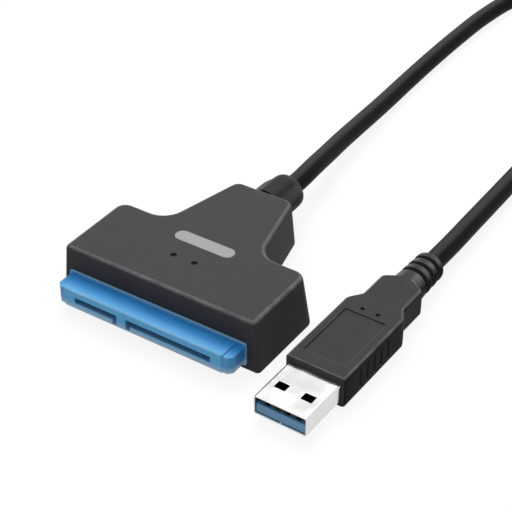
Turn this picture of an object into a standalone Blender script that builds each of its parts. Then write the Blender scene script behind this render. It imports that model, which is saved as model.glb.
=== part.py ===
# USB 3.0 to SATA adapter cable: a T-shaped housing with a 22-contact receptacle,
# a round cable with moulded strain reliefs, and a USB type A plug on its far end.
# Units are metres, +Z is up, and the receptacle faces -Y.

import bpy
import bmesh
from math import cos, pi, sin, sqrt
from mathutils import Matrix, Vector

# Gap between two pieces that are seated on each other
SEAT_GAP = 0.0001

# Moulded housing, measured at its base
HOUSING_WIDTH = 0.0495
HOUSING_HEIGHT = 0.0125
HOUSING_DEPTH = 0.0396
SHOULDER_DEPTH = 0.0208
NECK_ROOT_WIDTH = 0.0260
NECK_END_WIDTH = 0.0172
NECK_RISE = 0.0025
RAMP_START = 0.0225
RAMP_LENGTH = 0.0045
SIDE_DRAFT = 0.0013
WALL = 0.0016
FLOOR_THICKNESS = 0.0014
ROOF_THICKNESS = 0.0014
PARTING_HEIGHT = 0.0062
FRONT_CORNER_RADIUS = 0.0010
SHOULDER_CORNER_RADIUS = 0.0026
NECK_FILLET_RADIUS = 0.0036
NECK_CORNER_RADIUS = 0.0022
TOP_EDGE_RADIUS = 0.0011
BOTTOM_EDGE_RADIUS = 0.0005
LIP_HEIGHT = 0.0008
LIP_THICKNESS = 0.0007
POST_DIAMETER = 0.0026
POST_INSET = 0.0055
POST_CLEARANCE = 0.0004
POST_SPACING = 0.0049
RIB_WIDTH = 0.0030
RIB_LENGTH = 0.0014
RIB_INSET = 0.0072

# Receptacle body
NOSE_LENGTH = 0.0056
NOSE_WIDTH = 0.0396
NOSE_HEIGHT = 0.0047
NOSE_BOTTOM = 0.0020
NOSE_EDGE = 0.0003
EAR_WIDTH = 0.0022
EAR_HEIGHT = 0.0040
EAR_CHAMFER = 0.0009
FLANGE_THICKNESS = 0.0006
FLANGE_OVERLAP = 0.0003
WAIST_INSET = 0.0005
BODY_TAIL_LENGTH = 0.0026
SLOT_DEPTH = 0.0054
SLOT_HEIGHT = 0.0014
SIGNAL_SLOT_WIDTH = 0.0108
POWER_SLOT_WIDTH = 0.0208
SLOT_SPACING = 0.0023
KEY_WIDTH = 0.0011
KEY_DEPTH = 0.0010

# Receptacle contacts
SIGNAL_CONTACTS = 7
POWER_CONTACTS = 15
CONTACT_PITCH = 0.00127
CONTACT_WIDTH = 0.0006
CONTACT_THICKNESS = 0.0002
CONTACT_SETBACK = 0.0006
CONTACT_BOW = 0.00045
CONTACT_DROP = 0.00045
CONTACT_FOOT = 0.0016

# Bow of a receptacle contact: share of its reach in the slot, share of its bow
CONTACT_BOW_SHARES = (
    (0.00, 0.00),
    (0.12, 0.33),
    (0.32, 1.00),
    (0.55, 0.33),
    (0.75, 0.00),
)

# Circuit board and the parts soldered to it
BOARD_THICKNESS = 0.0010
BOARD_CLEARANCE = 0.0018
BOARD_LENGTH = 0.0110
BOARD_TONGUE_LENGTH = 0.0062
BOARD_CORNER_RADIUS = 0.0008
BRIDGE_CHIP_SIZE = 0.0070
BRIDGE_CHIP_HEIGHT = 0.0009
BRIDGE_CHIP_X = -0.0072
BRIDGE_CHIP_SETBACK = 0.0116
FLASH_CHIP_WIDTH = 0.0050
FLASH_CHIP_LENGTH = 0.0038
FLASH_CHIP_HEIGHT = 0.0015
FLASH_CHIP_X = 0.0094
FLASH_CHIP_SETBACK = 0.0132
CRYSTAL_WIDTH = 0.0025
CRYSTAL_LENGTH = 0.0020
CRYSTAL_HEIGHT = 0.0007
CRYSTAL_INSET = 0.0060
CRYSTAL_SETBACK = 0.0098
REGULATOR_WIDTH = 0.0062
REGULATOR_LENGTH = 0.0033
REGULATOR_HEIGHT = 0.0016
REGULATOR_X = 0.0002
REGULATOR_SETBACK = 0.0146
INDUCTOR_SIZE = 0.0036
INDUCTOR_HEIGHT = 0.0020
INDUCTOR_INSET = 0.0060
INDUCTOR_SETBACK = 0.0090
CAPACITOR_WIDTH = 0.0026
CAPACITOR_LENGTH = 0.0034
CAPACITOR_HEIGHT = 0.0019
INPUT_CAPACITOR_X = 0.0076
OUTPUT_CAPACITOR_INSET = 0.0060
INPUT_CAPACITOR_SETBACK = 0.0090
OUTPUT_CAPACITOR_SETBACK = 0.0134
PACKAGE_EDGE = 0.0002
LEAD_THICKNESS = 0.0002
FLASH_LEADS_A_SIDE = 4
FLASH_LEAD_PITCH = 0.00127
FLASH_LEAD_WIDTH = 0.0004
FLASH_LEAD_REACH = 0.0004
REGULATOR_LEAD_PITCH = 0.0023
REGULATOR_LEAD_WIDTH = 0.0007
REGULATOR_LEAD_REACH = 0.0011
REGULATOR_TAB_WIDTH = 0.0030
LED_SPACING = 0.0052
LED_SETBACK = 0.0096
LED_WIDTH = 0.0016
LED_LENGTH = 0.0008
LED_HEIGHT = 0.0006
LIGHT_PIPE_DIAMETER = 0.0012
LIGHT_PIPE_FLANGE = 0.0022
LIGHT_PIPE_FLANGE_THICKNESS = 0.0006
LIGHT_PIPE_RECESS = 0.0003

# Strain relief where the cable leaves the housing
COLLAR_LENGTH = 0.0103
COLLAR_WIDTH = 0.0108
COLLAR_HEIGHT = 0.0088
COLLAR_TIP_DIAMETER = 0.0060
COLLAR_WAIST_DIAMETER = 0.0062
COLLAR_FLANGE_LENGTH = 0.0014
COLLAR_FLANGE_WIDTH = 0.0084
COLLAR_FLANGE_CLEARANCE = 0.0003
COLLAR_LOBE_SHARE = 0.15

# Profile of the strain relief: share of its length, of its swell and of its lobes
COLLAR_PROFILE_SHARES = (
    (0.00, 0.92, 0.5),
    (0.03, 0.99, 0.8),
    (0.10, 1.00, 1.0),
    (0.40, 0.98, 1.0),
    (0.65, 0.92, 1.0),
    (0.80, 0.82, 0.9),
    (0.90, 0.64, 0.7),
    (0.96, 0.36, 0.4),
    (1.00, 0.00, 0.0),
)

# Cable and the wires inside the housing
CABLE_DIAMETER = 0.0045
CABLE_HEIGHT = 0.0075
WIRE_START_SPACING = 0.00125
WIRE_START_RISE = 0.0009
SINGLE_WIRE_DIAMETER = 0.0011
SHIELDED_PAIR_DIAMETER = 0.0015
WIRE_SPACING = 0.0026
WIRE_POINTS = 9

# USB plug: shell, tongue and contacts
SHELL_WIDTH = 0.0120
SHELL_HEIGHT = 0.0045
SHELL_THICKNESS = 0.0003
SHELL_CORNER_RADIUS = 0.0006
SHELL_EXPOSED = 0.0120
SHELL_BURIED = 0.0050
WINDOW_WIDTH = 0.0025
WINDOW_LENGTH = 0.0020
WINDOW_SPACING = 0.0060
WINDOW_SETBACK = 0.0052
SEAM_WIDTH = 0.00015
TONGUE_THICKNESS = 0.0021
TONGUE_SETBACK = 0.0004
TONGUE_REACH = 0.0092
BLOCK_SETBACK = 0.0006
PLUG_CONTACT_WIDTH = 0.0010
PLUG_CONTACT_THICKNESS = 0.0002
OUTER_CONTACT_SPACING = 0.0070
INNER_CONTACT_SPACING = 0.0020
FAST_CONTACTS = 5
FAST_CONTACT_PITCH = 0.0018
FAST_CONTACT_WIDTH = 0.0006
FAST_CONTACT_REACH = 0.0022
FAST_CONTACT_LIFT = 0.0008
CONTACT_TAIL = 0.0008

# USB plug: moulded grip and its ribbed boot
GRIP_WIDTH = 0.0136
GRIP_HEIGHT = 0.0074
GRIP_LENGTH = 0.0230
GRIP_EDGE_RADIUS = 0.0009
GRIP_FRONT_EDGE = 0.00045
GRIP_FRONT_EDGE_LENGTH = 0.00013
GRIP_TAPER_LENGTH = 0.0028
TAIL_WIDTH = 0.0098
TAIL_HEIGHT = 0.0066
TAIL_LENGTH = 0.0072
PANEL_WIDTH = 0.0101
PANEL_LENGTH = 0.0168
PANEL_SETBACK = 0.0030
PANEL_DEPTH = 0.0004
PANEL_CORNER_RADIUS = 0.0004
DIMPLE_DIAMETER = 0.0010
DIMPLE_DEPTH = 0.0006
DIMPLE_SPACING = 0.0042
DIMPLE_SETBACK = 0.0014
BOOT_LENGTH = 0.0116
BOOT_ROOT_DIAMETER = 0.0074
BOOT_TIP_DIAMETER = 0.0068
BOOT_GROOVES = 3
BOOT_GROOVE_WIDTH = 0.0010
BOOT_GROOVE_DEPTH = 0.0010
BOOT_RIB_WIDTH = 0.0017
BOOT_EDGE = 0.0003
INNER_MOULD_WIDTH = 0.0108
INNER_MOULD_HEIGHT = 0.0050
INNER_MOULD_LENGTH = 0.0120
INNER_MOULD_EDGE = 0.0006
SIDE_GROOVES = 5
SIDE_GROOVE_WIDTH = 0.0007
SIDE_GROOVE_DEPTH = 0.0002
SIDE_GROOVE_PITCH = 0.0026
SIDE_GROOVE_HEIGHT = 0.0046

# Where the plug lies beside the housing, and how far it is turned about Z
PLUG_X = 0.0367
PLUG_Y = -0.0332
PLUG_TURN = -0.015

# Route of the cable, chosen by hand from the housing to the plug
CABLE_ROUTE = [
    (0.0000, 0.0281, 0.00750),
    (-0.0001, 0.0320, 0.00742),
    (-0.0008, 0.0390, 0.00700),
    (-0.0019, 0.0466, 0.00590),
    (-0.0030, 0.0545, 0.00490),
    (-0.0039, 0.0635, 0.00395),
    (-0.0050, 0.0776, 0.00280),
    (-0.0058, 0.0911, 0.00235),
    (-0.0062, 0.1061, 0.00230),
    (-0.0062, 0.1211, 0.00230),
    (-0.0057, 0.1351, 0.00230),
    (-0.0038, 0.1481, 0.00230),
    (0.0012, 0.1596, 0.00230),
    (0.0084, 0.1671, 0.00230),
    (0.0175, 0.1696, 0.00230),
    (0.0266, 0.1661, 0.00230),
    (0.0332, 0.1576, 0.00230),
    (0.0364, 0.1461, 0.00230),
    (0.0374, 0.1321, 0.00230),
    (0.0373, 0.1161, 0.00230),
    (0.0370, 0.1001, 0.00230),
    (0.0368, 0.0841, 0.00230),
    (0.0367, 0.0691, 0.00233),
    (0.0369, 0.0556, 0.00255),
    (0.0372, 0.0441, 0.00300),
    (0.0375, 0.0341, 0.00340),
    (0.03756, 0.0275, 0.00366),
    (0.03755, 0.02369, 0.00370),
]
CABLE_POINTS = 56

# Facets
CORNER_STEPS = 7
EDGE_STEPS = 4
ROUND_SIDES = 28
BOOT_SIDES = 32
POST_SIDES = 12

# The origin lies under the middle of the adapter's own length, cable and plug left out
ADAPTER_LENGTH = NOSE_LENGTH + HOUSING_DEPTH + SEAT_GAP + COLLAR_LENGTH
FRONT_Y = NOSE_LENGTH - ADAPTER_LENGTH / 2

# Widths that several pieces share
FLANGE_WIDTH = NOSE_WIDTH + 2 * EAR_WIDTH
BOARD_WIDTH = HOUSING_WIDTH - 2 * (WALL + BOARD_CLEARANCE)
BOARD_TONGUE_WIDTH = NECK_ROOT_WIDTH - 2 * (WALL + BOARD_CLEARANCE)
POST_X = HOUSING_WIDTH / 2 - POST_INSET
RIB_X = FLANGE_WIDTH / 2 - RIB_INSET
INDUCTOR_X = BOARD_WIDTH / 2 - INDUCTOR_INSET
CRYSTAL_X = CRYSTAL_INSET - BOARD_WIDTH / 2
OUTPUT_CAPACITOR_X = OUTPUT_CAPACITOR_INSET - BOARD_WIDTH / 2

# Heights that several pieces share
NOSE_TOP = NOSE_BOTTOM + NOSE_HEIGHT
SLOT_LEVEL = NOSE_BOTTOM + NOSE_HEIGHT / 2
SLOT_TOP = SLOT_LEVEL + SLOT_HEIGHT / 2
CONTACT_LEVEL = SLOT_TOP + SEAT_GAP + CONTACT_THICKNESS / 2
FOOT_LEVEL = CONTACT_LEVEL - CONTACT_DROP
BOARD_TOP = FOOT_LEVEL - CONTACT_THICKNESS / 2 - SEAT_GAP
BOARD_BOTTOM = BOARD_TOP - BOARD_THICKNESS
ROOF_LEVEL = HOUSING_HEIGHT - ROOF_THICKNESS
NECK_FLOOR_LEVEL = FLOOR_THICKNESS + NECK_RISE
COLLAR_ROOM = min(ROOF_LEVEL - CABLE_HEIGHT, CABLE_HEIGHT - NECK_FLOOR_LEVEL)
COLLAR_FLANGE_HEIGHT = 2 * (COLLAR_ROOM - COLLAR_FLANGE_CLEARANCE)
PLUG_LEVEL = max(GRIP_HEIGHT, BOOT_ROOT_DIAMETER) / 2

# Depths that several pieces share
BODY_TAIL_START = FRONT_Y + WALL + SEAT_GAP
BODY_BACK = BODY_TAIL_START + BODY_TAIL_LENGTH
BOARD_FRONT = BODY_BACK + 3 * SEAT_GAP
COLLAR_START = FRONT_Y + HOUSING_DEPTH + SEAT_GAP
COLLAR_INNER_END = FRONT_Y + HOUSING_DEPTH - WALL - SEAT_GAP
CONTACT_FOOT_START = BOARD_FRONT + CONTACT_DROP
CONTACT_FOOT_END = CONTACT_FOOT_START + CONTACT_FOOT
FRONT_POST_Y = CONTACT_FOOT_END + POST_CLEARANCE + POST_DIAMETER / 2
REAR_POST_Y = FRONT_POST_Y + POST_SPACING
SLOTS_WIDTH = SIGNAL_SLOT_WIDTH + SLOT_SPACING + POWER_SLOT_WIDTH
SIGNAL_SLOT_LEFT = -SLOTS_WIDTH / 2
POWER_SLOT_LEFT = SIGNAL_SLOT_LEFT + SIGNAL_SLOT_WIDTH + SLOT_SPACING

# Distances back from the open end of the plug's shell
SHELL_BACK = SHELL_EXPOSED + SHELL_BURIED
BLOCK_BACK = SHELL_BACK - BLOCK_SETBACK
PLUG_CONTACT_BACK = SHELL_BACK + CONTACT_TAIL
INNER_MOULD_FRONT = PLUG_CONTACT_BACK + SEAT_GAP
INNER_MOULD_BACK = INNER_MOULD_FRONT + INNER_MOULD_LENGTH


def clear_scene():
    for item in list(bpy.data.objects):
        bpy.data.objects.remove(item)


def new_collection(name):
    collection = bpy.data.collections.new(name)
    bpy.context.scene.collection.children.link(collection)
    return collection


clear_scene()
adapter = new_collection("usb_to_sata_adapter")
cutters = new_collection("cutters")


def finish(name, colour, roughness, metallic=0.0):
    """A Principled material of one colour, given as linear RGB."""
    material = bpy.data.materials.new(name)
    material.use_nodes = True
    shader = material.node_tree.nodes["Principled BSDF"]
    shader.inputs["Base Color"].default_value = (*colour, 1.0)
    shader.inputs["Roughness"].default_value = roughness
    shader.inputs["Metallic"].default_value = metallic
    return material


HOUSING_BLACK = finish("housing_black_abs", (0.075, 0.072, 0.075), 0.5)
CABLE_BLACK = finish("cable_black_pvc", (0.022, 0.022, 0.023), 0.45)
GRIP_BLACK = finish("grip_black_pvc", (0.075, 0.072, 0.076), 0.5)
RECEPTACLE_BLUE = finish("receptacle_blue_lcp", (0.03, 0.20, 0.55), 0.4)
TONGUE_BLUE = finish("tongue_blue_lcp", (0.05, 0.18, 0.42), 0.4)
GOLD = finish("contact_gold_plate", (0.90, 0.62, 0.22), 0.25, 1.0)
NICKEL = finish("shell_nickel_plate", (0.80, 0.80, 0.80), 0.25, 1.0)
BOARD_GREEN = finish("board_green_mask", (0.02, 0.16, 0.06), 0.4)
CHIP_BLACK = finish("chip_black_epoxy", (0.02, 0.02, 0.02), 0.6)
CAPACITOR_YELLOW = finish("capacitor_yellow_epoxy", (0.75, 0.45, 0.08), 0.5)
FERRITE_GREY = finish("inductor_grey_ferrite", (0.10, 0.10, 0.11), 0.7)
CLEAR_ACRYLIC = finish("light_pipe_smoked_acrylic", (0.03, 0.03, 0.03), 0.15)
LED_WHITE = finish("led_white_resin", (0.80, 0.80, 0.70), 0.4)
NATURAL_PE = finish("inner_mould_natural_pe", (0.75, 0.73, 0.68), 0.5)
WIRE_RED = finish("wire_red_pvc", (0.55, 0.02, 0.02), 0.45)
WIRE_BLACK = finish("wire_black_pvc", (0.02, 0.02, 0.02), 0.45)
WIRE_WHITE = finish("wire_white_pvc", (0.80, 0.80, 0.80), 0.45)
WIRE_GREEN = finish("wire_green_pvc", (0.03, 0.35, 0.06), 0.45)
PAIR_FOIL = finish("pair_aluminium_foil", (0.70, 0.70, 0.72), 0.35, 1.0)


def new_object(name, form, material, collection=adapter, smooth=None):
    """Turns a bmesh into an object with its faces pointing out."""
    bmesh.ops.recalc_face_normals(form, faces=form.faces)
    mesh = bpy.data.meshes.new(name)
    form.to_mesh(mesh)
    form.free()
    if smooth is not None:
        mesh.shade_smooth()
        mesh.set_sharp_from_angle(angle=smooth)
    made = bpy.data.objects.new(name, mesh)
    collection.objects.link(made)
    if material:
        made.data.materials.append(material)
    if collection is cutters:
        made.hide_render = True
        made.display_type = "WIRE"
    return made


def boolean(target, other, operation):
    modifier = target.modifiers.new(f"{operation.lower()} {other.name}", "BOOLEAN")
    modifier.operation = operation
    modifier.object = other
    modifier.solver = "EXACT"


def cut(target, *others):
    for other in others:
        boolean(target, other, "DIFFERENCE")


def join(target, *others):
    for other in others:
        boolean(target, other, "UNION")


def add_box(form, low, high):
    """Adds a box between two corners to a bmesh and returns its vertices."""
    size = [high[axis] - low[axis] for axis in range(3)]
    middle = [(high[axis] + low[axis]) / 2 for axis in range(3)]
    placing = Matrix.Translation(middle) @ Matrix.Diagonal((*size, 1.0))
    return bmesh.ops.create_cube(form, size=1.0, matrix=placing)["verts"]


def boxes(name, corners, material=None, collection=cutters):
    form = bmesh.new()
    for low, high in corners:
        add_box(form, low, high)
    return new_object(name, form, material, collection)


def add_cylinder(form, centre, diameter, length, axis="Z", sides=POST_SIDES):
    turn = Matrix.Identity(4) if axis == "Z" else Matrix.Rotation(pi / 2, 4, "X")
    bmesh.ops.create_cone(
        form,
        cap_ends=True,
        segments=sides,
        radius1=diameter / 2,
        radius2=diameter / 2,
        depth=length,
        matrix=Matrix.Translation(centre) @ turn,
    )


def cylinders(name, rows, axis="Z", sides=POST_SIDES):
    """Cutters or posts: each row is a centre, a diameter and a length."""
    form = bmesh.new()
    for centre, diameter, length in rows:
        add_cylinder(form, centre, diameter, length, axis, sides)
    return new_object(name, form, None, cutters)


def extruded(name, outline, travel, material=None, collection=cutters):
    """A flat outline of 3-D points swept along one vector."""
    form = bmesh.new()
    face = form.faces.new([form.verts.new(point) for point in outline])
    swept = bmesh.ops.extrude_face_region(form, geom=[face])["geom"]
    moved = [item for item in swept if isinstance(item, bmesh.types.BMVert)]
    bmesh.ops.translate(form, verts=moved, vec=travel)
    return new_object(name, form, material, collection)


def loft(name, rings, material=None, collection=cutters, smooth=None):
    """A closed body through rings that have the same number of points."""
    form = bmesh.new()
    made = [[form.verts.new(point) for point in ring] for ring in rings]
    count = len(made[0])
    for lower, upper in zip(made, made[1:]):
        for index in range(count):
            after = (index + 1) % count
            form.faces.new((lower[index], lower[after], upper[after], upper[index]))
    form.faces.new(list(reversed(made[0])))
    form.faces.new(made[-1])
    return new_object(name, form, material, collection, smooth)


def inset_corners(corners, distances):
    """Moves each edge of a counter-clockwise polygon inwards by its own distance."""
    lines = []
    for index, corner in enumerate(corners):
        start = Vector(corner)
        along = (Vector(corners[(index + 1) % len(corners)]) - start).normalized()
        inward = Vector((-along.y, along.x))
        lines.append((start + inward * distances[index], along))
    moved = []
    for index in range(len(corners)):
        before, along_before = lines[index - 1]
        here, along_here = lines[index]
        crossing = along_before.cross(along_here)
        step = (here - before).cross(along_here) / crossing
        moved.append(before + along_before * step)
    return moved


def round_corners(corners, radii, steps=CORNER_STEPS):
    """Replaces each corner of a polygon by an arc of its own radius."""
    points = []
    count = len(corners)
    for index, radius in enumerate(radii):
        corner = Vector(corners[index])
        before = (Vector(corners[index - 1]) - corner).normalized()
        after = (Vector(corners[(index + 1) % count]) - corner).normalized()
        half = before.angle(after) / 2
        reach = radius / abs(sin(half) / cos(half))
        centre = corner + (before + after).normalized() * (radius / sin(half))
        first = corner + before * reach - centre
        last = corner + after * reach - centre
        sweep = first.angle_signed(last)
        for step in range(steps + 1):
            turn = Matrix.Rotation(-sweep * step / steps, 2)
            points.append(centre + turn @ first)
    return points


def bend_strip(path, thickness):
    """The outline of a thin strip whose middle follows a path of 2-D points."""
    left = []
    right = []
    for index, point in enumerate(path):
        here = Vector(point)
        before = (here - Vector(path[index - 1])).normalized() if index else None
        after = None
        if index + 1 < len(path):
            after = (Vector(path[index + 1]) - here).normalized()
        along = ((before or after) + (after or before)).normalized()
        side = Vector((-along.y, along.x)) * thickness / 2
        left.append(here + side)
        right.append(here - side)
    return left + list(reversed(right))


# Outline of the housing

HOUSING_RADII = (
    FRONT_CORNER_RADIUS,
    FRONT_CORNER_RADIUS,
    SHOULDER_CORNER_RADIUS,
    NECK_FILLET_RADIUS,
    NECK_CORNER_RADIUS,
    NECK_CORNER_RADIUS,
    NECK_FILLET_RADIUS,
    SHOULDER_CORNER_RADIUS,
)
CONCAVE_CORNERS = (3, 6)
FRONT_EDGE = 0
NECK_END_EDGE = 4
LEAST_RADIUS = 0.0002


def housing_ring(height, inset):
    """The T-shaped outline at a height, moved inwards by an inset."""
    half = HOUSING_WIDTH / 2
    root = NECK_ROOT_WIDTH / 2
    end = NECK_END_WIDTH / 2
    shoulder = FRONT_Y + SHOULDER_DEPTH
    back = FRONT_Y + HOUSING_DEPTH
    corners = [
        (-half, FRONT_Y),
        (half, FRONT_Y),
        (half, shoulder),
        (root, shoulder),
        (end, back),
        (-end, back),
        (-root, shoulder),
        (-half, shoulder),
    ]
    drafted = inset + SIDE_DRAFT * height / HOUSING_HEIGHT
    distances = [drafted] * len(corners)
    distances[FRONT_EDGE] = inset
    distances[NECK_END_EDGE] = inset
    radii = []
    for index, radius in enumerate(HOUSING_RADII):
        grown = radius + drafted if index in CONCAVE_CORNERS else radius - inset
        radii.append(max(grown, LEAST_RADIUS))
    flat = round_corners(inset_corners(corners, distances), radii)
    return [(point.x, point.y, height) for point in flat]


def housing_slab(name, low, high, inset, material=None, collection=cutters):
    rings = [housing_ring(low, inset), housing_ring(high, inset)]
    return loft(name, rings, material, collection)


def ramp(name, lift, overrun):
    """The wedge under the neck, whose top is lifted by a thickness."""
    back = FRONT_Y + HOUSING_DEPTH + overrun
    start = FRONT_Y + RAMP_START
    side = -HOUSING_WIDTH
    outline = [
        (side, start, -overrun),
        (side, start, lift),
        (side, start + RAMP_LENGTH, NECK_RISE + lift),
        (side, back, NECK_RISE + lift),
        (side, back, -overrun),
    ]
    return extruded(name, outline, (2 * HOUSING_WIDTH, 0, 0))


def post_places():
    for side in (-1, 1):
        for y in (FRONT_POST_Y, REAR_POST_Y):
            yield side * POST_X, y


def posts(name, low, high):
    """Round posts that hold the board from below or from above."""
    middle = (low + high) / 2
    rows = [((x, y, middle), POST_DIAMETER, high - low) for x, y in post_places()]
    return cylinders(name, rows)


def ribs(name, low, high):
    """Two ribs that hold the receptacle's tail from below or from above."""
    front = BODY_TAIL_START + SEAT_GAP
    corners = []
    for side in (-1, 1):
        left = side * RIB_X - RIB_WIDTH / 2
        corners.append(((left, front, low), (left + RIB_WIDTH, front + RIB_LENGTH, high)))
    return boxes(name, corners)


def receptacle_opening():
    half = FLANGE_WIDTH / 2 - WAIST_INSET + SEAT_GAP
    low = NOSE_BOTTOM + WAIST_INSET - SEAT_GAP
    high = NOSE_TOP - WAIST_INSET + SEAT_GAP
    corner = (-half, FRONT_Y - WALL, low)
    return boxes("receptacle_opening", [(corner, (half, FRONT_Y + 2 * WALL, high))])


def cable_opening():
    centre = (0, FRONT_Y + HOUSING_DEPTH - WALL / 2, CABLE_HEIGHT)
    diameter = COLLAR_WAIST_DIAMETER + 2 * SEAT_GAP
    return cylinders("cable_opening", [(centre, diameter, 3 * WALL)], "Y", ROUND_SIDES)


def led_places():
    for side in (-1, 1):
        yield side * LED_SPACING / 2, FRONT_Y + LED_SETBACK


def build_housing():
    front_hole = receptacle_opening()
    back_hole = cable_opening()
    overrun = 2 * WALL
    lip_inset = WALL - LIP_THICKNESS

    rings = []
    for step in range(EDGE_STEPS + 1):
        turn = step / EDGE_STEPS * pi / 2
        inset = BOTTOM_EDGE_RADIUS * (1 - sin(turn))
        rings.append(housing_ring(BOTTOM_EDGE_RADIUS * (1 - cos(turn)), inset))
    rings.append(housing_ring(PARTING_HEIGHT, 0))
    bottom = loft("housing_bottom_shell", rings, HOUSING_BLACK, adapter)
    join(
        bottom,
        housing_slab("bottom_lip", PARTING_HEIGHT - LIP_HEIGHT, PARTING_HEIGHT + LIP_HEIGHT, lip_inset),
    )
    hollow = housing_slab("bottom_hollow", FLOOR_THICKNESS, HOUSING_HEIGHT, WALL)
    cut(hollow, ramp("inner_ramp", FLOOR_THICKNESS, overrun))
    cut(bottom, hollow, ramp("outer_ramp", 0, overrun))
    join(bottom, posts("bottom_posts", FLOOR_THICKNESS / 2, BOARD_BOTTOM - SEAT_GAP))
    tail_bottom = NOSE_BOTTOM + SEAT_GAP
    join(bottom, ribs("bottom_ribs", FLOOR_THICKNESS / 2, tail_bottom - SEAT_GAP))
    cut(bottom, front_hole, back_hole)

    rings = [housing_ring(PARTING_HEIGHT + SEAT_GAP, 0)]
    for step in range(EDGE_STEPS + 1):
        turn = step / EDGE_STEPS * pi / 2
        inset = TOP_EDGE_RADIUS * (1 - cos(turn))
        rings.append(housing_ring(HOUSING_HEIGHT - TOP_EDGE_RADIUS * (1 - sin(turn)), inset))
    top = loft("housing_top_shell", rings, HOUSING_BLACK, adapter)
    lip_top = PARTING_HEIGHT + LIP_HEIGHT + SEAT_GAP
    cut(
        top,
        housing_slab("top_hollow", 0, ROOF_LEVEL, WALL),
        housing_slab("lip_recess", 0, lip_top, lip_inset - SEAT_GAP),
    )
    middle_of_roof = ROOF_LEVEL + ROOF_THICKNESS / 2
    join(top, posts("top_posts", BOARD_TOP + SEAT_GAP, middle_of_roof))
    join(top, ribs("top_ribs", NOSE_TOP, middle_of_roof))
    hole = LIGHT_PIPE_DIAMETER + 2 * SEAT_GAP
    rows = [((x, y, HOUSING_HEIGHT), hole, 4 * ROOF_THICKNESS) for x, y in led_places()]
    cut(top, cylinders("light_pipe_holes", rows), front_hole, back_hole)


# Receptacle with its two slots, keyed at their inner ends


def receptacle_body():
    half = NOSE_WIDTH / 2
    wide = FLANGE_WIDTH / 2
    nose_front = FRONT_Y - NOSE_LENGTH
    flange_front = FRONT_Y - SEAT_GAP - FLANGE_THICKNESS
    flange_back = FRONT_Y - SEAT_GAP

    def ring(y, side, low, high):
        corners = [(-side, low), (side, low), (side, high), (-side, high)]
        flat = round_corners(corners, [NOSE_EDGE] * 4, steps=2)
        return [(point.x, y, point.y) for point in flat]

    low = NOSE_BOTTOM
    high = NOSE_TOP
    waist = wide - WAIST_INSET
    tail = wide - SEAT_GAP
    chamfer = NOSE_EDGE
    rings = [
        ring(nose_front, half - chamfer, low + chamfer, high - chamfer),
        ring(nose_front + chamfer, half, low, high),
        ring(flange_front, half, low, high),
        ring(flange_front, wide, low - FLANGE_OVERLAP, high + FLANGE_OVERLAP),
        ring(flange_back, wide, low - FLANGE_OVERLAP, high + FLANGE_OVERLAP),
        ring(flange_back, waist, low + WAIST_INSET, high - WAIST_INSET),
        ring(BODY_TAIL_START, waist, low + WAIST_INSET, high - WAIST_INSET),
        ring(BODY_TAIL_START, tail, low + SEAT_GAP, high - SEAT_GAP),
        ring(BODY_BACK, tail, low + SEAT_GAP, high - SEAT_GAP),
    ]
    body = loft("sata_receptacle_body", rings, RECEPTACLE_BLUE, adapter)

    for side, name in ((-1, "left_ear"), (1, "right_ear")):
        outer = side * (wide - NOSE_EDGE)
        inner = side * (half - EAR_CHAMFER)
        ear_front = nose_front + NOSE_EDGE
        ear_back = flange_back - FLANGE_THICKNESS / 2
        ear_low = low + NOSE_EDGE
        outline = [
            (inner, ear_front, ear_low),
            (outer - side * EAR_CHAMFER, ear_front, ear_low),
            (outer, ear_front + EAR_CHAMFER, ear_low),
            (outer, ear_back, ear_low),
            (inner, ear_back, ear_low),
        ]
        join(body, extruded(name, outline, (0, 0, EAR_HEIGHT)))
    cut(body, slot_cutter(), channel_cutter())


def slot_cutter():
    """Both slots and the legs that make each of them an L."""
    front = FRONT_Y - NOSE_LENGTH - WALL
    back = FRONT_Y - NOSE_LENGTH + SLOT_DEPTH
    low = SLOT_LEVEL - SLOT_HEIGHT / 2
    form = bmesh.new()
    signal_right = SIGNAL_SLOT_LEFT + SIGNAL_SLOT_WIDTH
    power_right = POWER_SLOT_LEFT + POWER_SLOT_WIDTH
    signal_key = signal_right - KEY_WIDTH
    power_key = POWER_SLOT_LEFT + KEY_WIDTH
    key_low = low - KEY_DEPTH
    outlines = (
        [
            (SIGNAL_SLOT_LEFT, low),
            (signal_key, low),
            (signal_key, key_low),
            (signal_right, key_low),
            (signal_right, SLOT_TOP),
            (SIGNAL_SLOT_LEFT, SLOT_TOP),
        ],
        [
            (POWER_SLOT_LEFT, key_low),
            (power_key, key_low),
            (power_key, low),
            (power_right, low),
            (power_right, SLOT_TOP),
            (POWER_SLOT_LEFT, SLOT_TOP),
        ],
    )
    for outline in outlines:
        face = form.faces.new([form.verts.new((x, front, z)) for x, z in outline])
        swept = bmesh.ops.extrude_face_region(form, geom=[face])["geom"]
        moved = [item for item in swept if isinstance(item, bmesh.types.BMVert)]
        bmesh.ops.translate(form, verts=moved, vec=(0, back - front, 0))
    return new_object("slots", form, None, cutters)


def contact_places():
    """The middle of each contact across the receptacle, with its name."""
    signal_room = SIGNAL_SLOT_WIDTH - KEY_WIDTH
    signal_middle = SIGNAL_SLOT_LEFT + signal_room / 2
    power_room = POWER_SLOT_WIDTH - KEY_WIDTH
    power_middle = POWER_SLOT_LEFT + KEY_WIDTH + power_room / 2
    for number in range(SIGNAL_CONTACTS):
        offset = number - (SIGNAL_CONTACTS - 1) / 2
        yield f"signal_contact_{number + 1}", signal_middle + offset * CONTACT_PITCH
    for number in range(POWER_CONTACTS):
        offset = number - (POWER_CONTACTS - 1) / 2
        yield f"power_contact_{number + 1}", power_middle + offset * CONTACT_PITCH


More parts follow.
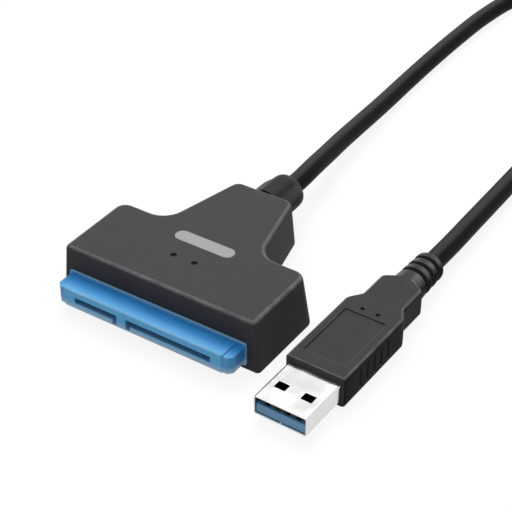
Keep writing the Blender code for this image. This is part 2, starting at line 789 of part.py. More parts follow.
def channel_cutter():
    """A groove over the slot for each contact, open through the back of the body."""
    half = CONTACT_WIDTH / 2 + SEAT_GAP
    front = FRONT_Y - NOSE_LENGTH + CONTACT_SETBACK - SEAT_GAP
    low = SLOT_TOP - SLOT_HEIGHT / 4
    high = CONTACT_LEVEL + CONTACT_THICKNESS / 2 + SEAT_GAP
    corners = []
    for _, x in contact_places():
        corners.append(((x - half, front, low), (x + half, BODY_BACK + WALL, high)))
    return boxes("contact_channels", corners)


def receptacle_contacts():
    front = FRONT_Y - NOSE_LENGTH + CONTACT_SETBACK
    slot_back = FRONT_Y - NOSE_LENGTH + SLOT_DEPTH
    reach = slot_back - front
    path = [
        (front + reach * along, CONTACT_LEVEL - CONTACT_BOW * bow)
        for along, bow in CONTACT_BOW_SHARES
    ]
    path += [
        (BODY_BACK, CONTACT_LEVEL),
        (CONTACT_FOOT_START, FOOT_LEVEL),
        (CONTACT_FOOT_END, FOOT_LEVEL),
    ]
    section = bend_strip(path, CONTACT_THICKNESS)
    for name, x in contact_places():
        outline = [(x - CONTACT_WIDTH / 2, point.x, point.y) for point in section]
        extruded(name, outline, (CONTACT_WIDTH, 0, 0), GOLD, adapter)


# Circuit board


def circuit_board():
    half = BOARD_WIDTH / 2
    tongue = BOARD_TONGUE_WIDTH / 2
    shoulder = BOARD_FRONT + BOARD_LENGTH
    back = shoulder + BOARD_TONGUE_LENGTH
    corners = [
        (-half, BOARD_FRONT),
        (half, BOARD_FRONT),
        (half, shoulder),
        (tongue, shoulder),
        (tongue, back),
        (-tongue, back),
        (-tongue, shoulder),
        (-half, shoulder),
    ]
    flat = round_corners(corners, [BOARD_CORNER_RADIUS] * len(corners), steps=2)
    outline = [(point.x, point.y, BOARD_BOTTOM) for point in flat]
    extruded("circuit_board", outline, (0, 0, BOARD_THICKNESS), BOARD_GREEN, adapter)


def package(name, x, setback, size, material, edge=PACKAGE_EDGE):
    """A soldered part with its underside just over the board and its top edges bevelled."""
    width, length, height = size
    y = FRONT_Y + setback
    base = BOARD_TOP + SEAT_GAP
    form = bmesh.new()
    add_box(
        form,
        (x - width / 2, y - length / 2, base),
        (x + width / 2, y + length / 2, base + height),
    )
    upper = [one for one in form.edges if min(v.co.z for v in one.verts) > base]
    bmesh.ops.bevel(form, geom=upper, offset=edge, segments=1, affect="EDGES")
    return new_object(name, form, material, adapter)


def leads(name, x, setback, places, front, back, width):
    """Flat leads under a package, from one distance in front of its middle to one behind."""
    base = BOARD_TOP + SEAT_GAP / 2
    y = FRONT_Y + setback
    corners = []
    for place in places:
        left = x + place - width / 2
        corner = (left, y - front, base)
        corners.append((corner, (left + width, y + back, base + LEAD_THICKNESS)))
    return boxes(name, corners)


def board_parts():
    package(
        "bridge_chip",
        BRIDGE_CHIP_X,
        BRIDGE_CHIP_SETBACK,
        (BRIDGE_CHIP_SIZE, BRIDGE_CHIP_SIZE, BRIDGE_CHIP_HEIGHT),
        CHIP_BLACK,
    )
    flash = package(
        "flash_chip",
        FLASH_CHIP_X,
        FLASH_CHIP_SETBACK,
        (FLASH_CHIP_WIDTH, FLASH_CHIP_LENGTH, FLASH_CHIP_HEIGHT),
        CHIP_BLACK,
    )
    middle = (FLASH_LEADS_A_SIDE - 1) / 2
    places = [(number - middle) * FLASH_LEAD_PITCH for number in range(FLASH_LEADS_A_SIDE)]
    reach = FLASH_CHIP_LENGTH / 2 + FLASH_LEAD_REACH
    width = FLASH_LEAD_WIDTH
    join(
        flash,
        leads("flash_leads", FLASH_CHIP_X, FLASH_CHIP_SETBACK, places, reach, reach, width),
    )
    package(
        "crystal",
        CRYSTAL_X,
        CRYSTAL_SETBACK,
        (CRYSTAL_WIDTH, CRYSTAL_LENGTH, CRYSTAL_HEIGHT),
        NICKEL,
    )
    regulator = package(
        "voltage_regulator",
        REGULATOR_X,
        REGULATOR_SETBACK,
        (REGULATOR_WIDTH, REGULATOR_LENGTH, REGULATOR_HEIGHT),
        CHIP_BLACK,
    )
    x, setback = REGULATOR_X, REGULATOR_SETBACK
    places = (-REGULATOR_LEAD_PITCH, 0, REGULATOR_LEAD_PITCH)
    reach = REGULATOR_LENGTH / 2 + REGULATOR_LEAD_REACH
    join(
        regulator,
        leads("regulator_leads", x, setback, places, reach, 0, REGULATOR_LEAD_WIDTH),
        leads("regulator_tab", x, setback, (0,), 0, reach, REGULATOR_TAB_WIDTH),
    )
    package(
        "power_inductor",
        INDUCTOR_X,
        INDUCTOR_SETBACK,
        (INDUCTOR_SIZE, INDUCTOR_SIZE, INDUCTOR_HEIGHT),
        FERRITE_GREY,
        2 * PACKAGE_EDGE,
    )
    size = (CAPACITOR_WIDTH, CAPACITOR_LENGTH, CAPACITOR_HEIGHT)
    places = (
        ("input_capacitor", INPUT_CAPACITOR_X, INPUT_CAPACITOR_SETBACK),
        ("output_capacitor", OUTPUT_CAPACITOR_X, OUTPUT_CAPACITOR_SETBACK),
    )
    for name, x, setback in places:
        package(name, x, setback, size, CAPACITOR_YELLOW)


def lights():
    """Two indicator lamps on the board, each under a clear pin that shows in the roof."""
    lamp_top = BOARD_TOP + SEAT_GAP + LED_HEIGHT
    pipe_top = HOUSING_HEIGHT - LIGHT_PIPE_RECESS
    flange_top = ROOF_LEVEL - SEAT_GAP
    flange_bottom = flange_top - LIGHT_PIPE_FLANGE_THICKNESS
    pin = LIGHT_PIPE_DIAMETER / 2
    flange = LIGHT_PIPE_FLANGE / 2
    profile = [
        (pin, lamp_top + SEAT_GAP),
        (pin, flange_bottom),
        (flange, flange_bottom),
        (flange, flange_top),
        (pin, flange_top),
        (pin, pipe_top),
    ]
    for (x, y), use in zip(led_places(), ("power", "activity")):
        size = (LED_WIDTH, LED_LENGTH, LED_HEIGHT)
        package(f"{use}_led", x, LED_SETBACK, size, LED_WHITE, PACKAGE_EDGE / 2)
        rings = []
        for radius, height in profile:
            rings.append(
                [
                    (
                        x + radius * cos(2 * pi * step / POST_SIDES),
                        y + radius * sin(2 * pi * step / POST_SIDES),
                        height,
                    )
                    for step in range(POST_SIDES)
                ]
            )
        loft(f"{use}_light_pipe", rings, CLEAR_ACRYLIC, adapter, pi / 6)


# Strain relief in the back of the housing


def lobed_ring(y, width, height, lobe):
    """An oval in the XZ plane, drawn in between four lobes."""
    points = []
    for step in range(ROUND_SIDES):
        turn = 2 * pi * step / ROUND_SIDES
        reach = 1 - lobe * (1 - cos(4 * turn)) / 2
        points.append(
            (
                width / 2 * reach * cos(turn),
                y,
                CABLE_HEIGHT + height / 2 * reach * sin(turn),
            )
        )
    return points


def strain_relief():
    inner_start = COLLAR_INNER_END - COLLAR_FLANGE_LENGTH
    tip = COLLAR_TIP_DIAMETER
    waist = COLLAR_WAIST_DIAMETER
    rings = [
        lobed_ring(inner_start, COLLAR_FLANGE_WIDTH, COLLAR_FLANGE_HEIGHT, 0),
        lobed_ring(COLLAR_INNER_END, COLLAR_FLANGE_WIDTH, COLLAR_FLANGE_HEIGHT, 0),
        lobed_ring(COLLAR_INNER_END, waist, waist, 0),
        lobed_ring(COLLAR_START, waist, waist, 0),
    ]
    for along, swell, lobe in COLLAR_PROFILE_SHARES:
        width = tip + (COLLAR_WIDTH - tip) * swell
        height = tip + (COLLAR_HEIGHT - tip) * swell
        y = COLLAR_START + COLLAR_LENGTH * along
        rings.append(lobed_ring(y, width, height, COLLAR_LOBE_SHARE * lobe))
    loft("housing_strain_relief", rings, CABLE_BLACK, adapter, pi / 5)


# Cable and wires


def smooth_through(points, count):
    """Points at even spacing on a smooth curve through hand-chosen points."""
    knots = [Vector(point) for point in points]
    knots = [2 * knots[0] - knots[1], *knots, 2 * knots[-1] - knots[-2]]
    fine = []
    pieces = 12
    for index in range(1, len(knots) - 2):
        p0, p1, p2, p3 = knots[index - 1 : index + 3]
        t1 = sqrt((p1 - p0).length)
        t2 = t1 + sqrt((p2 - p1).length)
        t3 = t2 + sqrt((p3 - p2).length)
        for step in range(pieces):
            t = t1 + (t2 - t1) * step / pieces
            a1 = p0 * (t1 - t) / t1 + p1 * t / t1
            a2 = p1 * (t2 - t) / (t2 - t1) + p2 * (t - t1) / (t2 - t1)
            a3 = p2 * (t3 - t) / (t3 - t2) + p3 * (t - t2) / (t3 - t2)
            b1 = a1 * (t2 - t) / t2 + a2 * t / t2
            b2 = a2 * (t3 - t) / (t3 - t1) + a3 * (t - t1) / (t3 - t1)
            fine.append(b1 * (t2 - t) / (t2 - t1) + b2 * (t - t1) / (t2 - t1))
    fine.append(knots[-2])
    lengths = [0.0]
    for start, end in zip(fine, fine[1:]):
        lengths.append(lengths[-1] + (end - start).length)
    spaced = []
    index = 0
    for number in range(count):
        wanted = lengths[-1] * number / (count - 1)
        while index < len(fine) - 2 and lengths[index + 1] < wanted:
            index += 1
        share = (wanted - lengths[index]) / (lengths[index + 1] - lengths[index])
        spaced.append(fine[index].lerp(fine[index + 1], share))
    return spaced


def tube(name, points, diameter, material, resolution):
    curve = bpy.data.curves.new(name, "CURVE")
    curve.dimensions = "3D"
    curve.bevel_depth = diameter / 2
    curve.bevel_resolution = resolution
    curve.use_fill_caps = True
    spline = curve.splines.new("POLY")
    spline.points.add(len(points) - 1)
    for target, point in zip(spline.points, points):
        target.co = (*point, 1.0)
    made = bpy.data.objects.new(name, curve)
    made.data.materials.append(material)
    adapter.objects.link(made)


def cable():
    points = smooth_through(CABLE_ROUTE, CABLE_POINTS)
    tube("cable", points, CABLE_DIAMETER, CABLE_BLACK, 3)


def inner_wires():
    """Wires from the strain relief down to the board's tongue, side by side."""
    start_y = COLLAR_INNER_END - COLLAR_FLANGE_LENGTH - SEAT_GAP
    pad_y = BOARD_FRONT + BOARD_LENGTH + BOARD_TONGUE_LENGTH / 2
    edge_y = BOARD_FRONT + BOARD_LENGTH + BOARD_TONGUE_LENGTH
    rows = (
        ("transmit_pair", SHIELDED_PAIR_DIAMETER, PAIR_FOIL),
        ("data_minus_wire", SINGLE_WIRE_DIAMETER, WIRE_WHITE),
        ("data_plus_wire", SINGLE_WIRE_DIAMETER, WIRE_GREEN),
        ("power_wire", SINGLE_WIRE_DIAMETER, WIRE_RED),
        ("ground_wire", SINGLE_WIRE_DIAMETER, WIRE_BLACK),
        ("receive_pair", SHIELDED_PAIR_DIAMETER, PAIR_FOIL),
    )
    for number, (name, diameter, material) in enumerate(rows):
        offset = number - (len(rows) - 1) / 2
        start_x = offset * WIRE_START_SPACING
        start_z = CABLE_HEIGHT + (WIRE_START_RISE if number % 2 else -WIRE_START_RISE)
        pad_x = offset * WIRE_SPACING
        rest_z = BOARD_TOP + SEAT_GAP + diameter / 2
        span = start_y - edge_y
        route = [
            (start_x, start_y, start_z),
            (start_x, start_y - span * 0.2, start_z),
            ((start_x + pad_x) / 2, edge_y + span * 0.4, (start_z + rest_z) / 2 + diameter / 2),
            (pad_x, edge_y, rest_z + diameter / 3),
            (pad_x, pad_y, rest_z),
        ]
        tube(name, smooth_through(route, WIRE_POINTS), diameter, material, 1)


# USB plug, modelled from its open end at y = 0 and placed by its own frame


def plug_frame():
    frame = bpy.data.objects.new("plug_frame", None)
    frame.location = (PLUG_X, PLUG_Y, 0)
    frame.rotation_euler = (0, 0, PLUG_TURN)
    adapter.objects.link(frame)
    return frame


def section_ring(y, width, height, radius):
    """A rounded rectangle across the plug, a circle where the radius is half its size."""
    corners = [
        (-width / 2, -height / 2),
        (width / 2, -height / 2),
        (width / 2, height / 2),
        (-width / 2, height / 2),
    ]
    steps = BOOT_SIDES // 4 - 1
    flat = round_corners(corners, [radius] * 4, steps)
    return [(point.x, y, PLUG_LEVEL + point.y) for point in flat]


def usb_shell():
    outer = [
        section_ring(y, SHELL_WIDTH, SHELL_HEIGHT, SHELL_CORNER_RADIUS)
        for y in (0, SHELL_BACK)
    ]
    shell = loft("usb_shell", outer, NICKEL, adapter, pi / 5)
    inner_width = SHELL_WIDTH - 2 * SHELL_THICKNESS
    inner_height = SHELL_HEIGHT - 2 * SHELL_THICKNESS
    inner_radius = SHELL_CORNER_RADIUS - SHELL_THICKNESS
    overrun = SHELL_THICKNESS * 4
    inner = [
        section_ring(y, inner_width, inner_height, inner_radius)
        for y in (-overrun, SHELL_BACK + overrun)
    ]
    corners = []
    for side in (-1, 1):
        left = side * WINDOW_SPACING / 2 - WINDOW_WIDTH / 2
        front = WINDOW_SETBACK - WINDOW_LENGTH / 2
        corners.append(
            (
                (left, front, PLUG_LEVEL - SHELL_HEIGHT),
                (left + WINDOW_WIDTH, front + WINDOW_LENGTH, PLUG_LEVEL + SHELL_HEIGHT),
            )
        )
    seam = SEAM_WIDTH / 2
    corners.append(((-seam, -overrun, 0), (seam, SHELL_BACK + overrun, PLUG_LEVEL)))
    cut(shell, loft("shell_hollow", inner), boxes("shell_windows_and_seam", corners))


def tongue_levels():
    """Underside, top of the tongue and top of the block behind it."""
    low = PLUG_LEVEL - SHELL_HEIGHT / 2 + SHELL_THICKNESS + SEAT_GAP
    high = PLUG_LEVEL + SHELL_HEIGHT / 2 - SHELL_THICKNESS - SEAT_GAP
    return low, low + TONGUE_THICKNESS, high


def slow_contact_places():
    outer = OUTER_CONTACT_SPACING / 2
    inner = INNER_CONTACT_SPACING / 2
    return (-outer, -inner, inner, outer)


def fast_contact_places():
    middle = (FAST_CONTACTS - 1) / 2
    return [(number - middle) * FAST_CONTACT_PITCH for number in range(FAST_CONTACTS)]


def usb_tongue():
    low, tongue_top, block_top = tongue_levels()
    half = SHELL_WIDTH / 2 - SHELL_THICKNESS - SEAT_GAP
    outline = [
        (-half, TONGUE_SETBACK, low),
        (-half, BLOCK_BACK, low),
        (-half, BLOCK_BACK, block_top),
        (-half, TONGUE_REACH, block_top),
        (-half, TONGUE_REACH, tongue_top),
        (-half, TONGUE_SETBACK, tongue_top),
    ]
    tongue = extruded("usb_tongue", outline, (2 * half, 0, 0), TONGUE_BLUE, adapter)
    groove = PLUG_CONTACT_THICKNESS + SEAT_GAP
    overrun = SHELL_THICKNESS * 4
    corners = []
    for x in slow_contact_places():
        reach = PLUG_CONTACT_WIDTH / 2 + SEAT_GAP
        front = 2 * TONGUE_SETBACK + SEAT_GAP
        top = tongue_top + 2 * SEAT_GAP
        corner = (x - reach, front, tongue_top - groove)
        corners.append((corner, (x + reach, BLOCK_BACK + overrun, top)))
    level = tongue_top + FAST_CONTACT_LIFT
    for x in fast_contact_places():
        reach = FAST_CONTACT_WIDTH / 2 + SEAT_GAP
        low_side = level - groove / 2 - SEAT_GAP / 2
        high_side = level + groove / 2 + SEAT_GAP / 2
        corners.append(
            (
                (x - reach, TONGUE_REACH - overrun, low_side),
                (x + reach, BLOCK_BACK + overrun, high_side),
            )
        )
    cut(tongue, boxes("plug_contact_channels", corners))


def usb_contacts():
    _, tongue_top, _ = tongue_levels()
    for number, x in enumerate(slow_contact_places(), start=1):
        half = PLUG_CONTACT_WIDTH / 2
        low = tongue_top - PLUG_CONTACT_THICKNESS
        corner = (x - half, 2 * TONGUE_SETBACK + 2 * SEAT_GAP, low)
        other = (x + half, PLUG_CONTACT_BACK, low + PLUG_CONTACT_THICKNESS)
        boxes(f"usb2_contact_{number}", [(corner, other)], GOLD, adapter)
    level = tongue_top + FAST_CONTACT_LIFT
    tip = TONGUE_REACH - FAST_CONTACT_REACH
    path = [
        (tip, level),
        (tip + FAST_CONTACT_REACH * 0.3, level - FAST_CONTACT_LIFT * 0.4),
        (tip + FAST_CONTACT_REACH * 0.75, level),
        (PLUG_CONTACT_BACK, level),
    ]
    section = bend_strip(path, PLUG_CONTACT_THICKNESS)
    for number, x in enumerate(fast_contact_places(), start=1):
        left = x - FAST_CONTACT_WIDTH / 2
        outline = [(left, point.x, point.y) for point in section]
        extruded(f"usb3_contact_{number}", outline, (FAST_CONTACT_WIDTH, 0, 0), GOLD, adapter)


def inner_mould():
    width = INNER_MOULD_WIDTH
    height = INNER_MOULD_HEIGHT
    edge = INNER_MOULD_EDGE
    rings = [
        section_ring(INNER_MOULD_FRONT, width, height, edge),
        section_ring(INNER_MOULD_BACK - 2 * edge, width, height, edge),
        section_ring(INNER_MOULD_BACK, width - 3 * edge, height - edge, edge),
    ]
    loft("plug_inner_mould", rings, NATURAL_PE, adapter)


def boot_rings(start):
    """Rings of the ribbed boot, which narrows a little from its root to its tip."""
    tip = start + BOOT_LENGTH

    def diameter(y):
        share = (y - start) / BOOT_LENGTH
        return BOOT_ROOT_DIAMETER + (BOOT_TIP_DIAMETER - BOOT_ROOT_DIAMETER) * share

    def ring(y, across):
        return section_ring(y, across, across, across / 2 - LEAST_RADIUS / 100)

    grooves_length = BOOT_GROOVES * BOOT_GROOVE_WIDTH + (BOOT_GROOVES - 1) * BOOT_RIB_WIDTH
    y = tip - BOOT_RIB_WIDTH - grooves_length
    rings = [ring(start, diameter(start))]
    for _ in range(BOOT_GROOVES):
        floor = diameter(y) - 2 * BOOT_GROOVE_DEPTH
        groove_end = y + BOOT_GROOVE_WIDTH
        rings.append(ring(y - BOOT_EDGE, diameter(y)))
        rings.append(ring(y, diameter(y) - BOOT_EDGE))
        rings.append(ring(y + BOOT_EDGE / 2, floor))
        rings.append(ring(groove_end - BOOT_EDGE / 2, floor))
        rings.append(ring(groove_end, diameter(groove_end) - BOOT_EDGE))
        rings.append(ring(groove_end + BOOT_EDGE, diameter(groove_end)))
        y = groove_end + BOOT_RIB_WIDTH
    rings.append(ring(tip - 2 * BOOT_EDGE, diameter(tip)))
    rings.append(ring(tip, diameter(tip) - 3 * BOOT_EDGE))
    return rings


def side_grooves():
    """Upright finger grooves in both sides of the grip, spread about its middle."""
    middle = SHELL_EXPOSED + GRIP_LENGTH / 2
    reach = SIDE_GROOVE_HEIGHT / 2
    corners = []
    for number in range(SIDE_GROOVES):
        y = middle + (number - (SIDE_GROOVES - 1) / 2) * SIDE_GROOVE_PITCH
        for side in (-1, 1):
            inner = side * (GRIP_WIDTH / 2 - SIDE_GROOVE_DEPTH)
            outer = side * (GRIP_WIDTH / 2 + SIDE_GROOVE_DEPTH)
            low = (min(inner, outer), y - SIDE_GROOVE_WIDTH / 2, PLUG_LEVEL - reach)
            high = (max(inner, outer), y + SIDE_GROOVE_WIDTH / 2, PLUG_LEVEL + reach)
            corners.append((low, high))
    return boxes("side_grooves", corners)


def grip():
    """The moulded grip: wide body, taper, tail and ribbed boot in one piece."""
    front = SHELL_EXPOSED
    wide_end = front + GRIP_LENGTH
    tail_start = wide_end + GRIP_TAPER_LENGTH
    tail_end = tail_start + TAIL_LENGTH
    edge = GRIP_EDGE_RADIUS
    soft = GRIP_FRONT_EDGE
    rings = [
        section_ring(front, GRIP_WIDTH - 2 * soft, GRIP_HEIGHT - 2 * soft, edge - soft / 2),
        section_ring(front + GRIP_FRONT_EDGE_LENGTH, GRIP_WIDTH - soft, GRIP_HEIGHT - soft, edge),
        section_ring(front + soft, GRIP_WIDTH, GRIP_HEIGHT, edge),
        section_ring(wide_end, GRIP_WIDTH, GRIP_HEIGHT, edge),
        section_ring(tail_start, TAIL_WIDTH, TAIL_HEIGHT, edge),
        section_ring(tail_end - soft, TAIL_WIDTH, TAIL_HEIGHT, edge),
        section_ring(tail_end, TAIL_WIDTH - soft, TAIL_HEIGHT - soft, edge),
    ]
    rings += boot_rings(tail_end)
    made = loft("plug_overmould", rings, GRIP_BLACK, adapter, pi / 5)

    top = PLUG_LEVEL + GRIP_HEIGHT / 2
    half = PANEL_WIDTH / 2
    panel_front = front + PANEL_SETBACK
    corners = [
        (-half, panel_front),
        (half, panel_front),
        (half, panel_front + PANEL_LENGTH),
        (-half, panel_front + PANEL_LENGTH),
    ]
    flat = round_corners(corners, [PANEL_CORNER_RADIUS] * 4, steps=3)
    outline = [(point.x, point.y, top - PANEL_DEPTH) for point in flat]
    panel = extruded("panel_recess", outline, (0, 0, 4 * PANEL_DEPTH))
    dimple_y = panel_front + PANEL_LENGTH + DIMPLE_SETBACK
    rows = [
        ((side * DIMPLE_SPACING / 2, dimple_y, top), DIMPLE_DIAMETER, 2 * DIMPLE_DEPTH)
        for side in (-1, 1)
    ]
    pocket_width = SHELL_WIDTH + 2 * SEAT_GAP
    pocket_height = SHELL_HEIGHT + 2 * SEAT_GAP
    pocket = loft(
        "shell_pocket",
        [
            section_ring(y, pocket_width, pocket_height, SHELL_CORNER_RADIUS)
            for y in (front - WALL, INNER_MOULD_FRONT)
        ],
    )
    mould_pocket = loft(
        "mould_pocket",
        [
            section_ring(
                y,
                INNER_MOULD_WIDTH + 2 * SEAT_GAP,
                INNER_MOULD_HEIGHT + 2 * SEAT_GAP,
                INNER_MOULD_EDGE,
            )
            for y in (SHELL_BACK, INNER_MOULD_BACK + SEAT_GAP)
        ],
    )
    cut(made, panel, cylinders("dimples", rows), pocket, mould_pocket, side_grooves())


def build_plug():
    """Every piece and cutter of the plug takes the place and turn of its frame."""
    frame = plug_frame()
    before = set(bpy.data.objects)
    usb_shell()
    usb_tongue()
    usb_contacts()
    inner_mould()
    grip()
    for made in set(bpy.data.objects) - before:
        made.parent = frame


build_housing()
receptacle_body()
receptacle_contacts()
circuit_board()
board_parts()
lights()
strain_relief()
inner_wires()
cable()
build_plug()
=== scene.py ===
from math import atan2, cos, pi, radians, sin, sqrt

import bmesh
import bpy
from mathutils import Matrix, Vector


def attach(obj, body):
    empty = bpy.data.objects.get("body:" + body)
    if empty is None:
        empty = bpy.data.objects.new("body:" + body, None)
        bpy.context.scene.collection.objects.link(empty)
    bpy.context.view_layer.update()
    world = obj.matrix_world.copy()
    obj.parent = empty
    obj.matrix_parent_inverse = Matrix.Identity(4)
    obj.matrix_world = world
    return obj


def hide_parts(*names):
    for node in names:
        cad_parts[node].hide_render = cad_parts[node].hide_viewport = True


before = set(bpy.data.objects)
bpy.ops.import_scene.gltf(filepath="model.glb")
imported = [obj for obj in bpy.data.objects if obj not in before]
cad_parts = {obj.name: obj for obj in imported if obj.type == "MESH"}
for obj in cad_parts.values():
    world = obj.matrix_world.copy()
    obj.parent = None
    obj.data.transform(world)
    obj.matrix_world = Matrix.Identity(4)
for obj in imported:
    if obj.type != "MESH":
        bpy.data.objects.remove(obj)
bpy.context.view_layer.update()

scene = bpy.context.scene
mm = 0.001
weldWithin = 0.001 * mm  # points nearer than this are one point

# camera, solved from the connectors whose sizes are known
cameraSetup = {
    "target": (2.17 * mm, 10.51 * mm, 0.0),
    "distance": 326.9 * mm,
    "azimuth": 33.74,
    "elevation": 36.31,
    "lens": 105.47,
    "sensor": 36.0,
}


def placeCamera(setup):
    turn = radians(setup["azimuth"])
    rise = radians(setup["elevation"])
    outward = Vector((sin(turn) * cos(rise), -cos(turn) * cos(rise), sin(rise)))
    data = bpy.data.cameras.new("photoCamera")
    data.lens = setup["lens"]
    data.sensor_width = setup["sensor"]
    data.clip_start = 0.01
    data.clip_end = 20.0
    data.dof.use_dof = False
    camera = bpy.data.objects.new("photoCamera", data)
    scene.collection.objects.link(camera)
    camera.location = Vector(setup["target"]) + outward * setup["distance"]
    camera.rotation_euler = (-outward).to_track_quat("-Z", "Y").to_euler()
    scene.camera = camera


placeCamera(cameraSetup)
print("camera placed")


# small helpers
def linear(hexCode):
    # an sRGB hex value as the linear colour that shaders take
    values = []
    for start in (0, 2, 4):
        part = int(hexCode[start:start + 2], 16) / 255
        values.append(part / 12.92 if part <= 0.04045 else ((part + 0.055) / 1.055) ** 2.4)
    return (*values, 1.0)


def newMaterial(name):
    made = bpy.data.materials.new(name)
    made.use_nodes = True
    return made, made.node_tree, made.node_tree.nodes["Principled BSDF"]


def addNode(tree, kind, settings=(), inputs=()):
    # one node with its settings; an input takes a value, or the socket that feeds it
    node = tree.nodes.new(kind)
    for key, value in dict(settings).items():
        setattr(node, key, value)
    for key, value in dict(inputs).items():
        if isinstance(value, bpy.types.NodeSocket):
            tree.links.new(value, node.inputs[key])
        else:
            node.inputs[key].default_value = value
    return node


def newPiece(name, shape, material, smoothAngle=35):
    # a bmesh made an object that rides on the body, with its place in its mesh
    mesh = bpy.data.meshes.new(name)
    shape.to_mesh(mesh)
    shape.free()
    mesh.shade_smooth()
    mesh.set_sharp_from_angle(angle=radians(smoothAngle))
    piece = bpy.data.objects.new(name, mesh)
    scene.collection.objects.link(piece)
    piece.data.materials.append(material)
    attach(piece, "root")
    return piece


def finishNodes(material, names):
    # gives solids that stay as they are their material
    for name in names:
        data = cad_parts[name].data
        data.materials.clear()
        data.materials.append(material)


def softEdges(piece, width, angle=40, segments=2):
    # small rounded edges, as a mould or a press leaves them
    bevel = piece.modifiers.new("softEdges", "BEVEL")
    bevel.width = width
    bevel.segments = segments
    bevel.profile = 0.5
    bevel.limit_method = "ANGLE"
    bevel.angle_limit = radians(angle)
    bevel.miter_outer = "MITER_ARC"
    bevel.use_clamp_overlap = True
    even = piece.modifiers.new("evenShading", "WEIGHTED_NORMAL")
    even.keep_sharp = True


# materials for moulded plastics
def printMask(tree, place, grain, setup):
    # a plain bar with round ends, pad-printed on the roof: 1 where there is ink, 0 elsewhere
    centred = addNode(
        tree, "ShaderNodeVectorMath", {"operation": "SUBTRACT"}, {0: place, 1: setup["centre"]}
    ).outputs[0]
    # the height counts twenty times, so that the ink stays on the outer face
    flattened = addNode(
        tree, "ShaderNodeVectorMath", {"operation": "MULTIPLY"}, {0: centred, 1: (1, 1, 20)}
    ).outputs[0]
    mirrored = addNode(tree, "ShaderNodeVectorMath", {"operation": "ABSOLUTE"}, {0: flattened}).outputs[0]
    beyond = addNode(
        tree, "ShaderNodeVectorMath", {"operation": "SUBTRACT"}, {0: mirrored, 1: setup["straight"]}
    ).outputs[0]
    outside = addNode(
        tree, "ShaderNodeVectorMath", {"operation": "MAXIMUM"}, {0: beyond, 1: (0, 0, 0)}
    ).outputs[0]
    reach = addNode(tree, "ShaderNodeVectorMath", {"operation": "LENGTH"}, {0: outside}).outputs["Value"]
    edge = addNode(
        tree, "ShaderNodeMapRange",
        inputs={0: reach, 1: setup["radius"] - setup["soft"], 2: setup["radius"], 3: 1.0, 4: 0.0},
    ).outputs[0]
    # ink sits on the peaks of the grain and misses some of the pits
    covered = addNode(
        tree, "ShaderNodeMapRange", inputs={0: grain, 1: 0.25, 2: 0.45, 3: setup["inPits"], 4: 1.0}
    ).outputs[0]
    return addNode(tree, "ShaderNodeMath", {"operation": "MULTIPLY"}, {0: edge, 1: covered}).outputs[0]


def toneAlong(tree, place, colour, setup):
    # one colour passes into another between two places along an axis
    along = addNode(tree, "ShaderNodeSeparateXYZ", inputs={0: place}).outputs[setup["axis"]]
    share = addNode(
        tree, "ShaderNodeMapRange", inputs={0: along, 1: setup["start"], 2: setup["end"], 4: setup["amount"]}
    ).outputs[0]
    return addNode(
        tree, "ShaderNodeMix", {"data_type": "RGBA"}, {0: share, 6: colour, 7: linear(setup["tone"])}
    ).outputs[2]


# how far a face leans sideways or up where each painted highlight and shade begins, and where it is full
leanSetup = {
    "flankShade": (0.4, 0.8), "crownHighlight": (0.84, 0.99), "rim": (0.985, 0.90), "upward": (0.35, 0.7),
}


